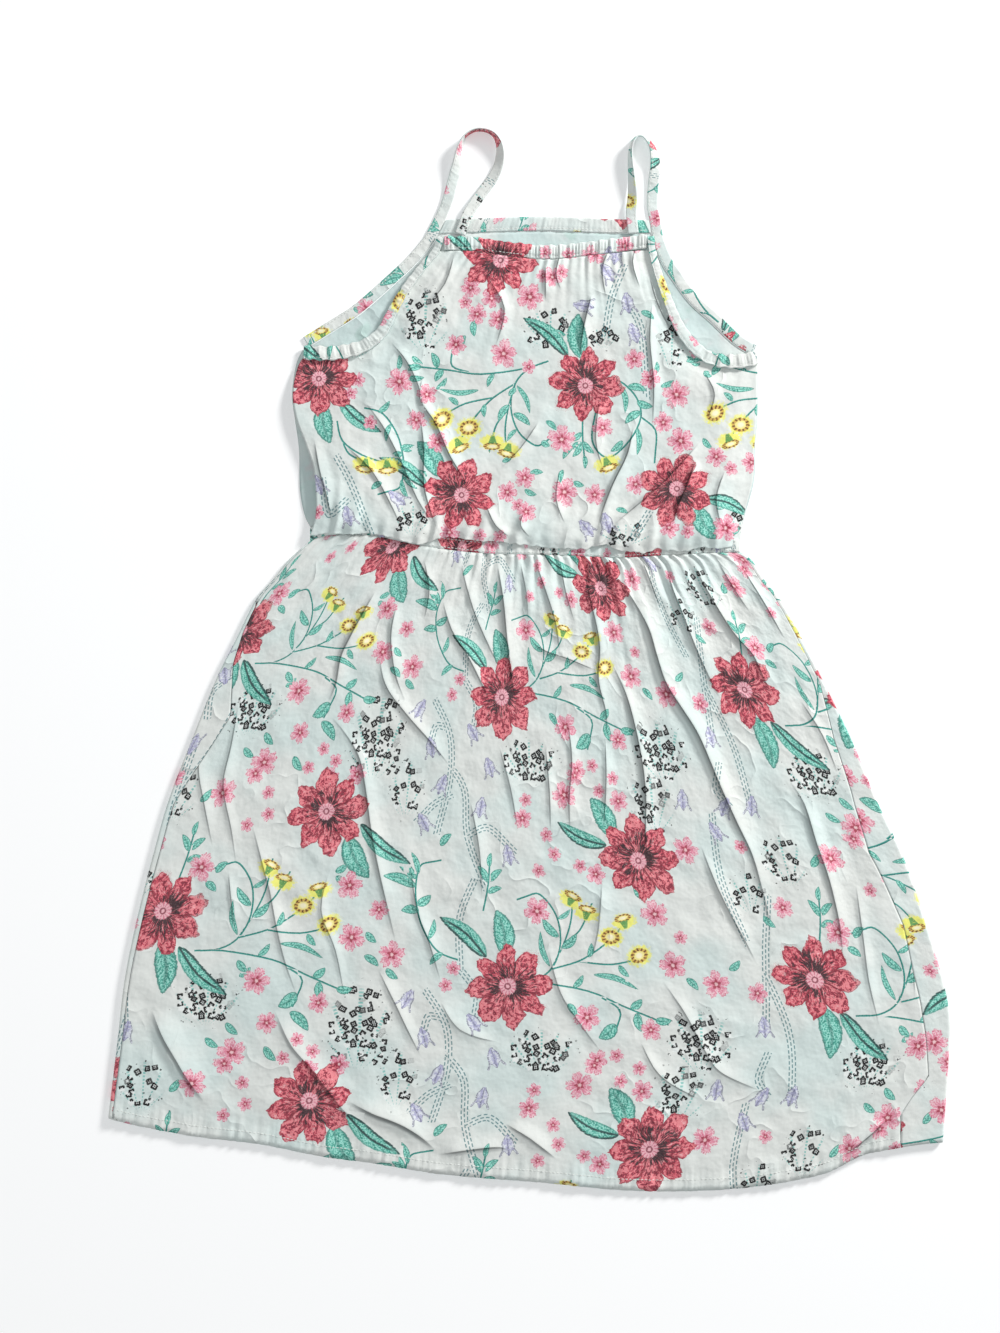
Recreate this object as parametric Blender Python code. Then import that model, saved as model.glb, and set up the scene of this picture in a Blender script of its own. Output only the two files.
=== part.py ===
"""A child's sleeveless summer dress laid flat with its front up.

The straps point to +Y, the hem to -Y, and the floor is z = 0. Sizes are in millimetres until a point is placed.
"""

import math

import bmesh
import bpy
from mathutils import Vector

# Driving sizes
MM = 0.001
CLOTH = 1.0
CLEAR = 0.3
BUTT = 0.5
BINDING_GAP = 0.7
ROLL = 2.1
SEAM_TOP = 2 * ROLL
HEM_FROM = 0.978
HEM_EXTRA = 0.3
WAIST_HALF = 4.5
NECK_CASING = 10.6
CASING_OVER = 1.5
STRAP_WIDTH = 8.0
STRAP_THICK = 1.5
UNDERARM_AT = 0.5
WAIST_GATHERS = 36
NECK_GATHERS = 20

# Colours of the cloth's two sides, for this model only
PRINTED = (0.80, 0.87, 0.83, 1.0)
INSIDE = (0.72, 0.77, 0.77, 1.0)
BINDING = (0.86, 0.80, 0.80, 1.0)

# Outline of the waist and the skirt, each row (x, y)
WAIST = [
    (-165.5, 95.5),
    (-151.0, 99.4),
    (-119.0, 99.2),
    (-82.5, 91.8),
    (-36.9, 86.0),
    (23.9, 84.4),
    (69.5, 82.6),
    (115.1, 85.1),
    (159.8, 86.8),
]
HEM = [
    (-319.0, -347.3),
    (-295.3, -353.4),
    (-249.7, -361.8),
    (-204.1, -367.1),
    (-158.5, -376.2),
    (-112.9, -382.3),
    (-67.3, -389.9),
    (-21.7, -393.7),
    (23.9, -397.5),
    (69.5, -402.0),
    (115.1, -402.8),
    (160.7, -400.5),
    (206.3, -393.7),
    (229.1, -387.6),
    (251.9, -376.2),
    (274.7, -370.9),
    (297.5, -367.1),
    (314.3, -365.6),
]
SKIRT_LEFT = [
    (-182.0, 76.0),
    (-194.2, 60.8),
    (-207.1, 45.6),
    (-222.3, 15.2),
    (-237.5, -15.2),
    (-255.7, -60.8),
    (-273.2, -106.4),
    (-286.1, -152.0),
    (-297.5, -197.6),
    (-306.7, -243.2),
    (-312.0, -288.8),
]
SKIRT_RIGHT = [
    (169.1, 76.0),
    (179.0, 60.8),
    (191.1, 45.6),
    (207.9, 15.2),
    (223.1, -15.2),
    (245.1, -60.8),
    (264.1, -106.4),
    (285.4, -152.0),
    (300.6, -197.6),
    (314.3, -243.2),
    (319.6, -273.6),
    (318.1, -311.6),
]

# How far the back of the skirt comes round to the front, each row (share of the way to the hem, width)
FLAP_LEFT = [(0.0, 3.2), (0.19, 3.2), (0.245, 8), (0.285, 15), (0.336, 23), (0.405, 15), (0.487, 5), (1.0, 3.2)]
FLAP_RIGHT = [
    (0.0, 3.2),
    (0.245, 3.2),
    (0.343, 13),
    (0.428, 16),
    (0.533, 24),
    (0.654, 17),
    (0.731, 20.5),
    (0.80, 20.5),
    (0.895, 14.5),
    (0.924, 26),
    (0.948, 34),
    (1.0, 32),
]

# Outline of the bodice, each row (x, y) from the underarm down
SIDE_BACK_LEFT = [
    (-172.0, 235.0),
    (-176.7, 224.2),
    (-179.7, 201.4),
    (-177.5, 182.4),
    (-174.4, 159.6),
    (-173.7, 129.2),
    (-170.2, 110.2),
]
SIDE_BACK_RIGHT = [
    (173.2, 231.0),
    (174.4, 216.6),
    (174.4, 190.0),
    (172.1, 159.6),
    (171.4, 136.8),
    (164.5, 110.2),
]
SIDE_FRONT_LEFT = [
    (-175.5, 221.0),
    (-178.7, 201.4),
    (-175.8, 182.4),
    (-169.0, 164.0),
    (-163.0, 146.0),
    (-161.0, 124.0),
    (-161.5, 108.0),
]
SIDE_FRONT_RIGHT = [
    (173.4, 214.0),
    (173.4, 190.0),
    (171.1, 159.6),
    (170.2, 136.8),
    (163.4, 110.2),
]
BACK_TOP = [(-21.7, 324.8), (12.5, 325.6), (54.3, 324.0)]
FRONT_TOP = [(-40.7, 309.7), (-14.1, 305.9), (16.3, 303.6), (54.3, 307.4)]

# How far above the waist line the full bodice hangs, each row (x, height)
BLOUSE_EDGE = [(-165, 4.9), (-60, 4.9), (-20, 2.5), (5, 0.6), (45, 0.6), (70, 3.5), (100, 4.9), (160, 4.9)]

# Neck casings, each row (x, y)
NECK_FRONT = [(-63.9, 316.2), (-40.7, 315.4), (-14.1, 311.6), (16.3, 309.3), (54.3, 313.1), (89.5, 317.6)]
NECK_BACK_UPPER = [(-62.6, 334.4), (-21.7, 335.9), (12.5, 336.7), (54.3, 335.1), (91.3, 333.8)]

# Middle lines of the armhole casings, each row (x, y) from the neck to the underarm
ARM_LEFT = [
    (-67.0, 320.5),
    (-70.8, 309.5),
    (-80.2, 298.7),
    (-93.9, 280.4),
    (-103.0, 264.5),
    (-112.1, 247.8),
    (-127.3, 237.1),
    (-148.6, 232.6),
    (-170.6, 233.3),
]
ARM_RIGHT = [
    (92.6, 321.0),
    (94.2, 308.0),
    (98.4, 292.6),
    (105.3, 273.6),
    (113.6, 253.8),
    (124.3, 238.6),
    (137.9, 228.8),
    (156.2, 226.3),
    (173.2, 229.0),
]

# Middle lines of the straps, each row (x, y, turn on edge in degrees, height of the underside)
STRAP_LEFT_BINDING = [
    (-169.1, 241.7, 0, 0),
    (-148.6, 254.6, 0, 0),
    (-131.9, 265.2, 0, 0),
    (-118.2, 276.6, 0, 0),
    (-103.0, 290.3, 0, 0),
    (-88.5, 304.0, 0, 0),
    (-76.4, 318.4, 0, 0),
    (-72.4, 325.4, 0, 0),
]
STRAP_LEFT_LOOP = [
    (-67.3, 335.2, 0, 0),
    (-61.9, 348.1, 0, 0),
    (-58.1, 361.8, 8, 0),
    (-54.3, 376.2, 35, 0),
    (-52.1, 389.1, 72, 0),
    (-48.3, 397.0, 88, 0),
    (-40.7, 401.6, 90, 0),
    (-32.3, 401.4, 88, 0),
    (-25.5, 397.4, 76, 0),
    (-21.7, 388.4, 52, 0),
    (-22.4, 377.0, 26, 0),
    (-27.0, 366.3, 8, 0),
    (-34.6, 355.7, 0, 0.4),
    (-41.4, 345.8, 0, 1.6),
    (-46.7, 336.7, 0, 2.5),
    (-50.5, 326.8, 0, 2.5),
    (-51.9, 322.9, 0, 2.5),
]
STRAP_RIGHT_BINDING = [
    (171.4, 235.6, 0, 0),
    (158.5, 243.2, 0, 0),
    (141.7, 259.2, 0, 0),
    (125.8, 273.6, 0, 0),
    (114.4, 288.8, 0, 0),
    (105.3, 302.5, 0, 0),
    (99.2, 316.9, 0, 0),
    (97.6, 324.6, 0, 0),
]
STRAP_RIGHT_LOOP = [
    (96.1, 332.9, 0, 0),
    (93.9, 345.8, 0, 0),
    (94.6, 361.0, 4, 0),
    (96.1, 376.2, 20, 0),
    (93.6, 388.9, 52, 0),
    (86.9, 396.9, 70, 0),
    (80.4, 395.2, 78, 0),
    (77.1, 385.3, 74, 0),
    (77.9, 368.6, 60, 0),
    (78.7, 352.6, 34, 0.8),
    (77.9, 339.9, 6, 2.3),
    (78.9, 328.3, 0, 2.5),
    (79.4, 323.7, 0, 2.5),
]

# Folds of the front, each row (height, width of the steep side, width of the gentle side, points of the crest)
SKIRT_FOLDS = [
    (9.0, 10, 26, [(71, 75), (94, 46), (109, 4), (133, -37), (155, -67), (172, -106), (185, -152), (195, -220)]),
    (6.5, 9, 20, [(82, 15), (91, -46), (98, -91), (98, -144), (94, -182)]),
    (5.5, 8, 16, [(-18, 65), (-3, -8), (4, -49)]),
    (9.0, 10, 22, [(113, 72), (133, 32), (152, -6), (171, -37), (202, -70), (218, -99), (232, -144), (243, -198)]),
    (6.0, 8, 18, [(140, 65), (170, 32), (200, -15), (218, -58)]),
    (2.5, 6, 6, [(54, 8), (60, -46), (59, -152), (48, -228)]),
    (7.0, 12, 28, [(-276, -258), (-254, -300), (-231, -336)]),
    (6.0, 12, 26, [(-170, -323), (-128, -346), (-104, -365)]),
    (7.0, 12, 24, [(-122, -328), (-83, -344), (-56, -369)]),
    (4.5, 10, 20, [(-56, -365), (-7, -357)]),
    (5.5, 11, 24, [(-3, -351), (24, -369), (85, -374)]),
    (6.0, 14, 30, [(236, -250), (243, -300), (240, -352)]),
    (3.0, 8, 14, [(-94, 46), (-108, -8), (-98, -34), (-75, -61)]),
    (3.5, 8, 12, [(-140, 15), (-145, -23), (-140, -65), (-117, -106), (-106, -192), (-89, -228), (-67, -304)]),
    (4.0, 7, 14, [(-58, 76), (-52, 38), (-42, 4), (-25, -23)]),
    (4.0, 7, 14, [(9, 68), (22, 15), (24, -29), (35, -91)]),
    (3.0, 9, 18, [(-219, -129), (-203, -182), (-189, -243)]),
    (3.0, 8, 16, [(-120, 78), (-128, 48), (-141, 15)]),
]
BODICE_FOLDS = [
    (4.5, 7, 16, [(48, 289), (47, 243), (50, 201)]),
    (3.5, 6, 10, [(18, 301), (22, 268)]),
    (4.5, 7, 14, [(-95, 255), (-108, 213), (-113, 179)]),
    (5.0, 8, 14, [(-104, 199), (-79, 152), (-64, 116)]),
    (4.0, 7, 12, [(-70, 209), (-76, 156), (-67, 125), (-58, 100)]),
    (5.5, 9, 9, [(86, 201), (71, 149), (60, 122), (56, 98)]),
    (5.0, 7, 13, [(156, 193), (140, 175), (129, 144), (123, 106)]),
    (2.5, 7, 12, [(101, 277), (112, 247), (132, 215)]),
    (3.0, 7, 12, [(-33, 137), (0, 132), (24, 118)]),
    (5.0, 9, 12, [(-149, 179), (-149, 141), (-141, 106)]),
]

# Height of each panel's outside in the middle of the panel, each row (share of the way down, height)
SKIRT_RISE = [(0.0, 5.2), (0.05, 5.4), (0.15, 4.8), (0.4, 3.9), (1.0, 3.3)]
BODICE_RISE = [(0.0, 4.0), (0.1, 4.8), (0.6, 5.0), (0.85, 6.8), (0.93, 9.0), (0.965, 9.2), (0.985, 8.5), (1.0, 7.0)]


def blend(start, end, share):
    return start + (end - start) * share


def smooth(share):
    share = min(max(share, 0.0), 1.0)
    return share * share * (3 - 2 * share)


def uneven(index, seed):
    """A fixed number from -1 to 1 for each index, so that repeats differ."""
    return 2 * (math.sin(index * 12.9898 + seed * 78.233) * 43758.5453 % 1) - 1


def look_up(rows, place):
    """The value at a place in rows of (place, value), straight between rows."""
    for (start, low), (end, high) in zip(rows, rows[1:]):
        if place <= end:
            return blend(low, high, max(place - start, 0) / (end - start))
    return rows[-1][1]


def rounded(points, steps=6):
    """A smooth line through a row of points."""
    last = len(points) - 1
    line = []
    for i in range(last):
        around = points[max(i - 1, 0)], points[i], points[i + 1], points[min(i + 2, last)]
        for step in range(steps):
            t = step / steps
            weights = (
                -0.5 * t + t**2 - 0.5 * t**3,
                1 - 2.5 * t**2 + 1.5 * t**3,
                0.5 * t + 2 * t**2 - 1.5 * t**3,
                -0.5 * t**2 + 0.5 * t**3,
            )
            line.append(tuple(sum(w * c for w, c in zip(weights, values)) for values in zip(*around)))
    line.append(tuple(points[-1]))
    return line


def course(points, steps=6):
    """A function that gives the point at a share of the length of a smooth line."""
    line = rounded(points, steps) if steps else list(points)
    runs = [0.0]
    for start, end in zip(line, line[1:]):
        runs.append(runs[-1] + math.dist(start[:2], end[:2]))

    def at(share):
        run = min(max(share, 0.0), 1.0) * runs[-1]
        k = 1
        while k < len(runs) - 1 and runs[k] < run:
            k += 1
        part = (run - runs[k - 1]) / (runs[k] - runs[k - 1])
        return tuple(blend(a, b, part) for a, b in zip(line[k - 1], line[k]))

    return at


def direction(at, share):
    """The unit direction of a line at a share of its length."""
    before = at(share - 0.004)
    after = at(share + 0.004)
    run = math.dist(before[:2], after[:2])
    return (after[0] - before[0]) / run, (after[1] - before[1]) / run


def beside(at, share, distance):
    """The point at a distance to the right of a line."""
    x, y = at(share)[:2]
    dx, dy = direction(at, share)
    return x + dy * distance, y - dx * distance


def patch(top, bottom, left, right, s, v, reach, power):
    """The point of a panel between four lines, whose rows bend to the two sides within the given reach."""
    (ax, ay), (bx, by) = top(0)[:2], top(1)[:2]
    (cx, cy), (dx, dy) = bottom(0)[:2], bottom(1)[:2]
    tx, ty = top(s)[:2]
    ux, uy = bottom(s)[:2]
    lx, ly = left(v)[:2]
    rx, ry = right(v)[:2]
    x = blend(lx, rx, s) + (1 - v) * (tx - blend(ax, bx, s)) + v * (ux - blend(cx, dx, s))
    y = blend(ty, uy, v)
    y += (ly - blend(ay, cy, v)) * max(1 - s / reach, 0) ** power
    y += (ry - blend(by, dy, v)) * max(1 - (1 - s) / reach, 0) ** power
    return x, y


def fold_height(x, y, folds):
    """The height that the folds add at a point: each rises steeply on one side and gently on the other."""
    total = 0.0
    for height, steep, gentle, line, length in folds:
        nearest = None
        run = 0.0
        for (ax, ay), (bx, by) in zip(line, line[1:]):
            dx, dy = bx - ax, by - ay
            step = math.hypot(dx, dy)
            t = min(max(((x - ax) * dx + (y - ay) * dy) / step**2, 0), 1)
            off = math.hypot(x - ax - t * dx, y - ay - t * dy)
            if nearest is None or off < nearest[0]:
                side = dx * (y - ay) - dy * (x - ax)
                nearest = off, side, (run + t * step) / length
            run += step
        off, side, place = nearest
        width = steep if side < 0 else gentle
        if off < width:
            fade = smooth(place / 0.3 + 0.15) * smooth((1 - place) / 0.35 + 0.1)
            total += height * fade * (0.5 + 0.5 * math.cos(math.pi * off / width))
    return total


def ready(folds):
    """The folds with a smooth crest and its length."""
    rows = []
    for height, steep, gentle, points in folds:
        line = rounded(points, 4)
        length = sum(math.dist(a, b) for a, b in zip(line, line[1:]))
        rows.append((height, steep, gentle, line, length))
    return rows


def steepness(x, y, folds):
    """The slope of the folds at a point."""
    here = fold_height(x, y, folds)
    return math.hypot(fold_height(x + 1, y, folds) - here, fold_height(x, y + 1, folds) - here)


def wall(name, stations, levels, face, colour, collection):
    """A closed cloth wall: one grid, extruded, with each point put in place by face(station, level, outer)."""
    bm = bmesh.new()
    across = len(stations) - 1
    down = len(levels) - 1
    bmesh.ops.create_grid(bm, x_segments=across, y_segments=down, size=1.0)
    made = bmesh.ops.extrude_face_region(bm, geom=bm.faces[:])
    raised = [item for item in made["geom"] if isinstance(item, bmesh.types.BMVert)]
    bmesh.ops.translate(bm, verts=raised, vec=(0, 0, 1))
    for vert in bm.verts:
        station = stations[round((vert.co.x + 1) / 2 * across)]
        level = levels[round((vert.co.y + 1) / 2 * down)]
        vert.co = Vector(face(station, level, vert.co.z > 0.5)) * MM
    if bm.calc_volume(signed=True) < 0:
        bmesh.ops.reverse_faces(bm, faces=bm.faces[:])
    mesh = bpy.data.meshes.new(name)
    bm.to_mesh(mesh)
    bm.free()
    material = bpy.data.materials.new(name)
    material.use_nodes = True
    shader = material.node_tree.nodes["Principled BSDF"]
    shader.inputs["Base Color"].default_value = colour
    shader.inputs["Roughness"].default_value = 0.85
    mesh.materials.append(material)
    collection.objects.link(bpy.data.objects.new(name, mesh))


def shares(count, seed, shift=0.25):
    """Shares from 0 to 1 at uneven steps."""
    inner = [(i + shift * uneven(i, seed)) / count for i in range(1, count)]
    return [0.0, *inner, 1.0]


# Start from an empty scene
for thing in list(bpy.data.objects):
    bpy.data.objects.remove(thing)
dress = bpy.data.collections.new("sleeveless_dress")
bpy.context.scene.collection.children.link(dress)

# Lines that more than one piece follows
waist = course(WAIST)


def waist_lower(s):
    x, y = waist(s)
    return x, y - WAIST_HALF - BUTT


def waist_upper(s):
    x, y = waist(s)
    return x, y + WAIST_HALF + BUTT


hem = course(HEM)
skirt_left = course([waist_lower(0), *SKIRT_LEFT, HEM[0]])
skirt_right = course([waist_lower(1), *SKIRT_RIGHT, HEM[-1]])
skirt_levels = [0, 0.02, 0.045, 0.08, 0.12, 0.165, 0.21, 0.255, 0.3, 0.345, 0.39, 0.44, 0.49, 0.54, 0.59]
skirt_levels += [0.64, 0.69, 0.74, 0.79, 0.84, 0.895, 0.935, HEM_FROM - 0.006, HEM_FROM, 1.0]


def skirt_point(s, v):
    return patch(waist_lower, hem, skirt_left, skirt_right, s, v, 1.0, 1)


def skirt_width(v):
    return skirt_right(v)[0] - skirt_left(v)[0]


# Back of the skirt: flat on the floor, with both sides rolled over to the front as far as the side seams
turns = [90, 45, 0, -45, -90]
flat_shares = [0.03, 0.07, 0.12, 0.19, 0.27, 0.36, 0.45, 0.54, 0.63, 0.72, 0.81, 0.9]
back_stations = [("left", "flap", 0)]
back_stations += [("left", "roll", angle) for angle in turns]
back_stations += [("", "flat", share) for share in flat_shares]
back_stations += [("right", "roll", angle) for angle in reversed(turns)]
back_stations += [("right", "flap", 0)]


def skirt_back_face(station, v, outer):
    side, kind, value = station
    width = skirt_width(v)
    extra = HEM_EXTRA if v >= HEM_FROM else 0
    if kind == "flat":
        z = 0 if outer else CLOTH + extra
        return *skirt_point(blend(ROLL / width, 1 - ROLL / width, value), v), z
    if kind == "flap":
        inward = look_up(FLAP_LEFT if side == "left" else FLAP_RIGHT, v)
        z = SEAM_TOP if outer else SEAM_TOP - CLOTH
    else:
        radius = ROLL if outer else ROLL - CLOTH
        inward = ROLL - radius * math.cos(math.radians(value))
        z = ROLL + radius * math.sin(math.radians(value))
    share = inward / width
    return *skirt_point(share if side == "left" else 1 - share, v), z


wall("skirt_back", back_stations, skirt_levels, skirt_back_face, PRINTED, dress)

# Front of the skirt: between the side seams, gathered at the waist, with its folds
skirt_folds = ready(SKIRT_FOLDS)
front_shares = shares(2 * WAIST_GATHERS, 1)
front_stations = list(enumerate(front_shares))


def gather(index, seed, height, away, reach):
    """The rise or dip of a gather that fades with the share away from its seam."""
    sign = 1 if index % 2 else -1
    size = height * (1 + 0.5 * uneven(index, seed))
    length = reach * (1 + 0.6 * uneven(index // 2, seed + 1))
    return sign * size * math.exp(-away / length)


def skirt_front_face(station, v, outer):
    index, s = station
    width = skirt_width(v)
    left = (look_up(FLAP_LEFT, v) + CLEAR) / width
    right = 1 - (look_up(FLAP_RIGHT, v) + CLEAR) / width
    x, y = skirt_point(blend(left, right, s), v)
    edge = smooth(min(s, 1 - s) * width * (right - left) / 16)
    rise = look_up(SKIRT_RISE, v) + gather(index, 2, 1.1, v, 0.13)
    top = max(blend(SEAM_TOP, rise + fold_height(x, y, skirt_folds), edge), 2.7)
    extra = HEM_EXTRA if v >= HEM_FROM else 0
    if outer:
        return x, y, top + extra
    thick = CLOTH * min(math.hypot(1, edge * steepness(x, y, skirt_folds)), 2.2)
    return x, y, max(top - thick - extra, CLOTH + CLEAR + extra)


wall("skirt_front", front_stations, skirt_levels, skirt_front_face, PRINTED, dress)

# Waist casings: a flat band under the back and over the front seam, gathered by its elastic
waist_levels = [-1, 0, 1]


def waist_casing(name, columns, low, high, ripple):
    def face(station, level, outer):
        index, s = station
        x, y = waist(s)
        wave = ripple * (1 if index % 2 else -1) * (1 - 0.4 * abs(level)) * (0.7 + 0.3 * uneven(index, 5))
        return x, y + level * WAIST_HALF, (high - ripple + wave if outer else low)

    wall(name, list(enumerate(shares(columns, 3))), waist_levels, face, PRINTED, dress)


waist_casing("waist_casing_back", 28, 0, 2.5, 0)
waist_casing("waist_casing_front", 2 * WAIST_GATHERS, 2.9, 5.6, 0.35)

# Armhole casings: narrow at the neck and wide under the arm, over the edge of the front
arm_left = course(ARM_LEFT)
arm_right = course(ARM_RIGHT)


def arm_width(share):
    return blend(5.3, 10.6, smooth(share))


def arm_casing(name, at, mirror, seed):
    """mirror is 1 where the bodice lies to the left of the line and -1 where it lies to the right."""

    def face(station, level, outer):
        index, share = station
        half = arm_width(share) / 2
        pucker = (1 if index % 2 else -1) * 0.25 * (1 + 0.5 * uneven(index, seed))
        x, y = beside(at, share, -mirror * level * (half + (pucker if level else 0)))
        base = blend(2.0, 2.9, (level + 1) / 2)
        return x, y, base + (2.0 + (0.3 + pucker if level == 0 else 0) if outer else 0)

    wall(name, list(enumerate(shares(26, seed, 0.2))), [-1, 0, 1], face, BINDING, dress)


arm_casing("armhole_casing_left", arm_left, 1, 11)
arm_casing("armhole_casing_right", arm_right, -1, 12)


# Front of the bodice: from the neck casing to the waist, its armhole edges under the armhole casings
def front_side(casing, mirror, side_points, corner):
    """The side of the front: first beside the armhole casing, then down the side seam."""
    start = 0.068
    arm = [beside(casing, blend(start, 1, k / 16), -mirror * (arm_width(blend(start, 1, k / 16)) / 2 - CASING_OVER))
           for k in range(17)]
    upper = course(arm, 0)
    lower = course([arm[-1], *side_points, corner])

    def at(v):
        if v <= UNDERARM_AT:
            return upper(v / UNDERARM_AT)
        return lower((v - UNDERARM_AT) / (1 - UNDERARM_AT))

    return at


def front_bottom(s):
    x, y = waist(s)
    return x, y + look_up(BLOUSE_EDGE, x)


front_left = front_side(arm_left, 1, SIDE_FRONT_LEFT, front_bottom(0))
front_right = front_side(arm_right, -1, SIDE_FRONT_RIGHT, front_bottom(1))
arm_edges = [side(UNDERARM_AT * k / 16) for side in (front_left, front_right) for k in range(17)]
front_top = course([front_left(0), *FRONT_TOP, front_right(0)])
bodice_folds = ready(BODICE_FOLDS)
bodice_levels = [0, 0.035, 0.08, 0.14, 0.21, 0.28, 0.35, 0.42, UNDERARM_AT, 0.57, 0.64, 0.71, 0.78, 0.85]
bodice_levels += [0.9, 0.94, 0.97, 1.0]


def bodice_front_face(station, v, outer):
    index, s = station
    x, y = patch(front_top, front_bottom, front_left, front_right, s, v, 0.4, 2)
    edge_top = blend(2.3, 2.7, smooth((v - 0.4) / 0.2))
    away = min(math.dist((x, y), place) for place in arm_edges)
    edge = min(smooth(min(s, 1 - s) / 0.065), smooth((away - 2) / 16))
    bulge = 0.9 * uneven(index // 3, 8) * smooth((v - 0.85) / 0.08)
    rise = look_up(BODICE_RISE, v) + gather(index, 6, 0.8, v, 0.1) + gather(index, 7, 0.7, 1 - v, 0.1) + bulge
    top = max(blend(edge_top, rise + fold_height(x, y, bodice_folds), edge), 2.3)
    if v > 0.95:
        top = max(top, blend(edge_top, 7.0, smooth(min(s, 1 - s) / 0.03)))
    if outer:
        return x, y, top
    thick = CLOTH * min(math.hypot(1, edge * steepness(x, y, bodice_folds)), 2.2)
    thick = min(thick, 1.05) if v > 0.95 else thick
    return x, y, max(top - thick, CLOTH + CLEAR)


wall("bodice_front", list(enumerate(shares(52, 9))), bodice_levels, bodice_front_face, PRINTED, dress)

# Front neck casing: its elastic puckers both edges
neck_front = course(NECK_FRONT)


def neck_front_face(station, level, outer):
    index, s = station
    x, y = neck_front(s)
    sign = 1 if index % 2 else -1
    pucker = sign * (0.35 + 0.15 * uneven(index, 13))
    half = NECK_CASING / 2 + (pucker if level < 0 else 0)
    top = 3.7 + 0.6 * (1 - abs(level)) + 0.6 * pucker
    return x, y - level * half, (top if outer else 1.5)


neck_levels = [-1, -0.2, 1]
wall(
    "neck_casing_front",
    list(enumerate(shares(2 * NECK_GATHERS, 14))),
    neck_levels,
    neck_front_face,
    PRINTED,
    dress,
)

# Back of the bodice: flat on the floor, its inside facing up
def back_side(binding, mirror, side_points, corner):
    """The side of the back: first beside the binding, then down the side seam."""
    line = course([row[:2] for row in binding])
    arm = [beside(line, 1 - k / 24, mirror * (STRAP_WIDTH / 2 + BINDING_GAP)) for k in range(25)]
    upper = course([*arm, side_points[0]], 0)
    lower = course([*side_points, corner])

    def at(v):
        if v <= UNDERARM_AT:
            return upper(v / UNDERARM_AT)
        return lower((v - UNDERARM_AT) / (1 - UNDERARM_AT))

    return at


back_left = back_side(STRAP_LEFT_BINDING, 1, SIDE_BACK_LEFT, waist_upper(0))
back_right = back_side(STRAP_RIGHT_BINDING, -1, SIDE_BACK_RIGHT, waist_upper(1))
back_top = course([back_left(0), *BACK_TOP, back_right(0)])


def bodice_back_face(s, v, outer):
    x, y = patch(back_top, waist_upper, back_left, back_right, s, v, 0.4, 2)
    return x, y, (CLOTH if outer else 0)


back_shares = [0, 0.04, 0.09, 0.15, 0.22, 0.3, 0.4, 0.5, 0.6, 0.7, 0.8, 0.9, 1]
back_levels = [0, 0.06, 0.12, 0.18, 0.24, 0.31, 0.38, 0.44, 0.48, UNDERARM_AT, 0.58, 0.66, 0.75, 0.87, 1]
wall("bodice_back", back_shares, back_levels, bodice_back_face, INSIDE, dress)

# Back neck casing: on the floor between the straps
neck_upper = course(NECK_BACK_UPPER)


def neck_back_face(station, level, outer):
    index, s = station
    lower = back_top(s)
    x, y = (blend(a, b, level) for a, b in zip(neck_upper(s), (lower[0], lower[1] + BUTT)))
    pucker = (1 if index % 2 else -1) * (0.2 + 0.1 * uneven(index, 15))
    return x, y, (2.0 + pucker * 0.6 if outer else 0)


wall("neck_casing_back", list(enumerate(shares(30, 16))), [0, 1], neck_back_face, BINDING, dress)

# Straps: each one strip that binds the back armhole, then loops over to the front neck casing


def strap(name, binding, loop):
    middle = course([*binding, *loop])
    whole = [k / 18 * 0.42 for k in range(18)] + [0.42 + k / 46 * 0.58 for k in range(47)]

    def face(share, level, outer):
        x, y, turn, lift = middle(share)
        dx, dy = direction(middle, share)
        tilt = math.radians(max(turn, 0))
        wide = STRAP_WIDTH / 2 * level
        thick = STRAP_THICK / 2 * (1 if outer else -1)
        side = wide * math.cos(tilt) - thick * math.sin(tilt)
        up = wide * math.sin(tilt) + thick * math.cos(tilt)
        height = STRAP_WIDTH / 2 * math.sin(tilt) + STRAP_THICK / 2 * math.cos(tilt)
        return x - dy * side, y + dx * side, max(lift, 0) + height + up

    wall(name, whole, [-1, 1], face, BINDING, dress)


strap("strap_left", STRAP_LEFT_BINDING, STRAP_LEFT_LOOP)
strap("strap_right", STRAP_RIGHT_BINDING, STRAP_RIGHT_LOOP)
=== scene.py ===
import math

import bmesh
import bpy
import numpy as np
from mathutils import Matrix


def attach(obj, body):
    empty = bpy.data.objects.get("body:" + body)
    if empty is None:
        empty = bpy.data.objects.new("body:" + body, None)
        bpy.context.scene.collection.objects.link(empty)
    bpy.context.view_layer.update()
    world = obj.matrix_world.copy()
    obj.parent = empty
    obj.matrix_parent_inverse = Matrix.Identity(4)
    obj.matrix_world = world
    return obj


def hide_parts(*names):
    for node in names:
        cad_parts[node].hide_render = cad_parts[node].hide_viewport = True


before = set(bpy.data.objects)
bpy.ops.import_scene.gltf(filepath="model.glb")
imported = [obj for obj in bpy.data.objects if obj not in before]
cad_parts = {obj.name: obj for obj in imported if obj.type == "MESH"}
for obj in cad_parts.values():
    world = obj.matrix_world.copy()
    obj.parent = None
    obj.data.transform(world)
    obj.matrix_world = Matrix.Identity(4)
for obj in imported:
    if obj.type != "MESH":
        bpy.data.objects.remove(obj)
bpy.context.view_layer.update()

# ---------------------------------------------------------------------------------------------------------
# The table and the light: a plain pale surface, with one soft lamp from the upper right and weak light all
# round, seen from straight above as when the dress is laid out to be photographed.
TABLE_HALF = 2.2
TABLE_DROP = 0.0002
TABLE_WHITE = (0.93, 0.93, 0.93, 1)
TABLE_GLOW = 0.19
KEY_AT, KEY_SIZE, KEY_POWER = (2.1, 1.89, 1.19), 0.65, 98
FILL_AT, FILL_SIZE, FILL_POWER = (-0.7, -0.5, 2.4), 1.6, 12
ROOM_LIGHT = 0.38
CAMERA_AT = (-0.0217, -0.0049, 1.407)
LENS, FILM_HEIGHT = 50, 36


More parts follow.
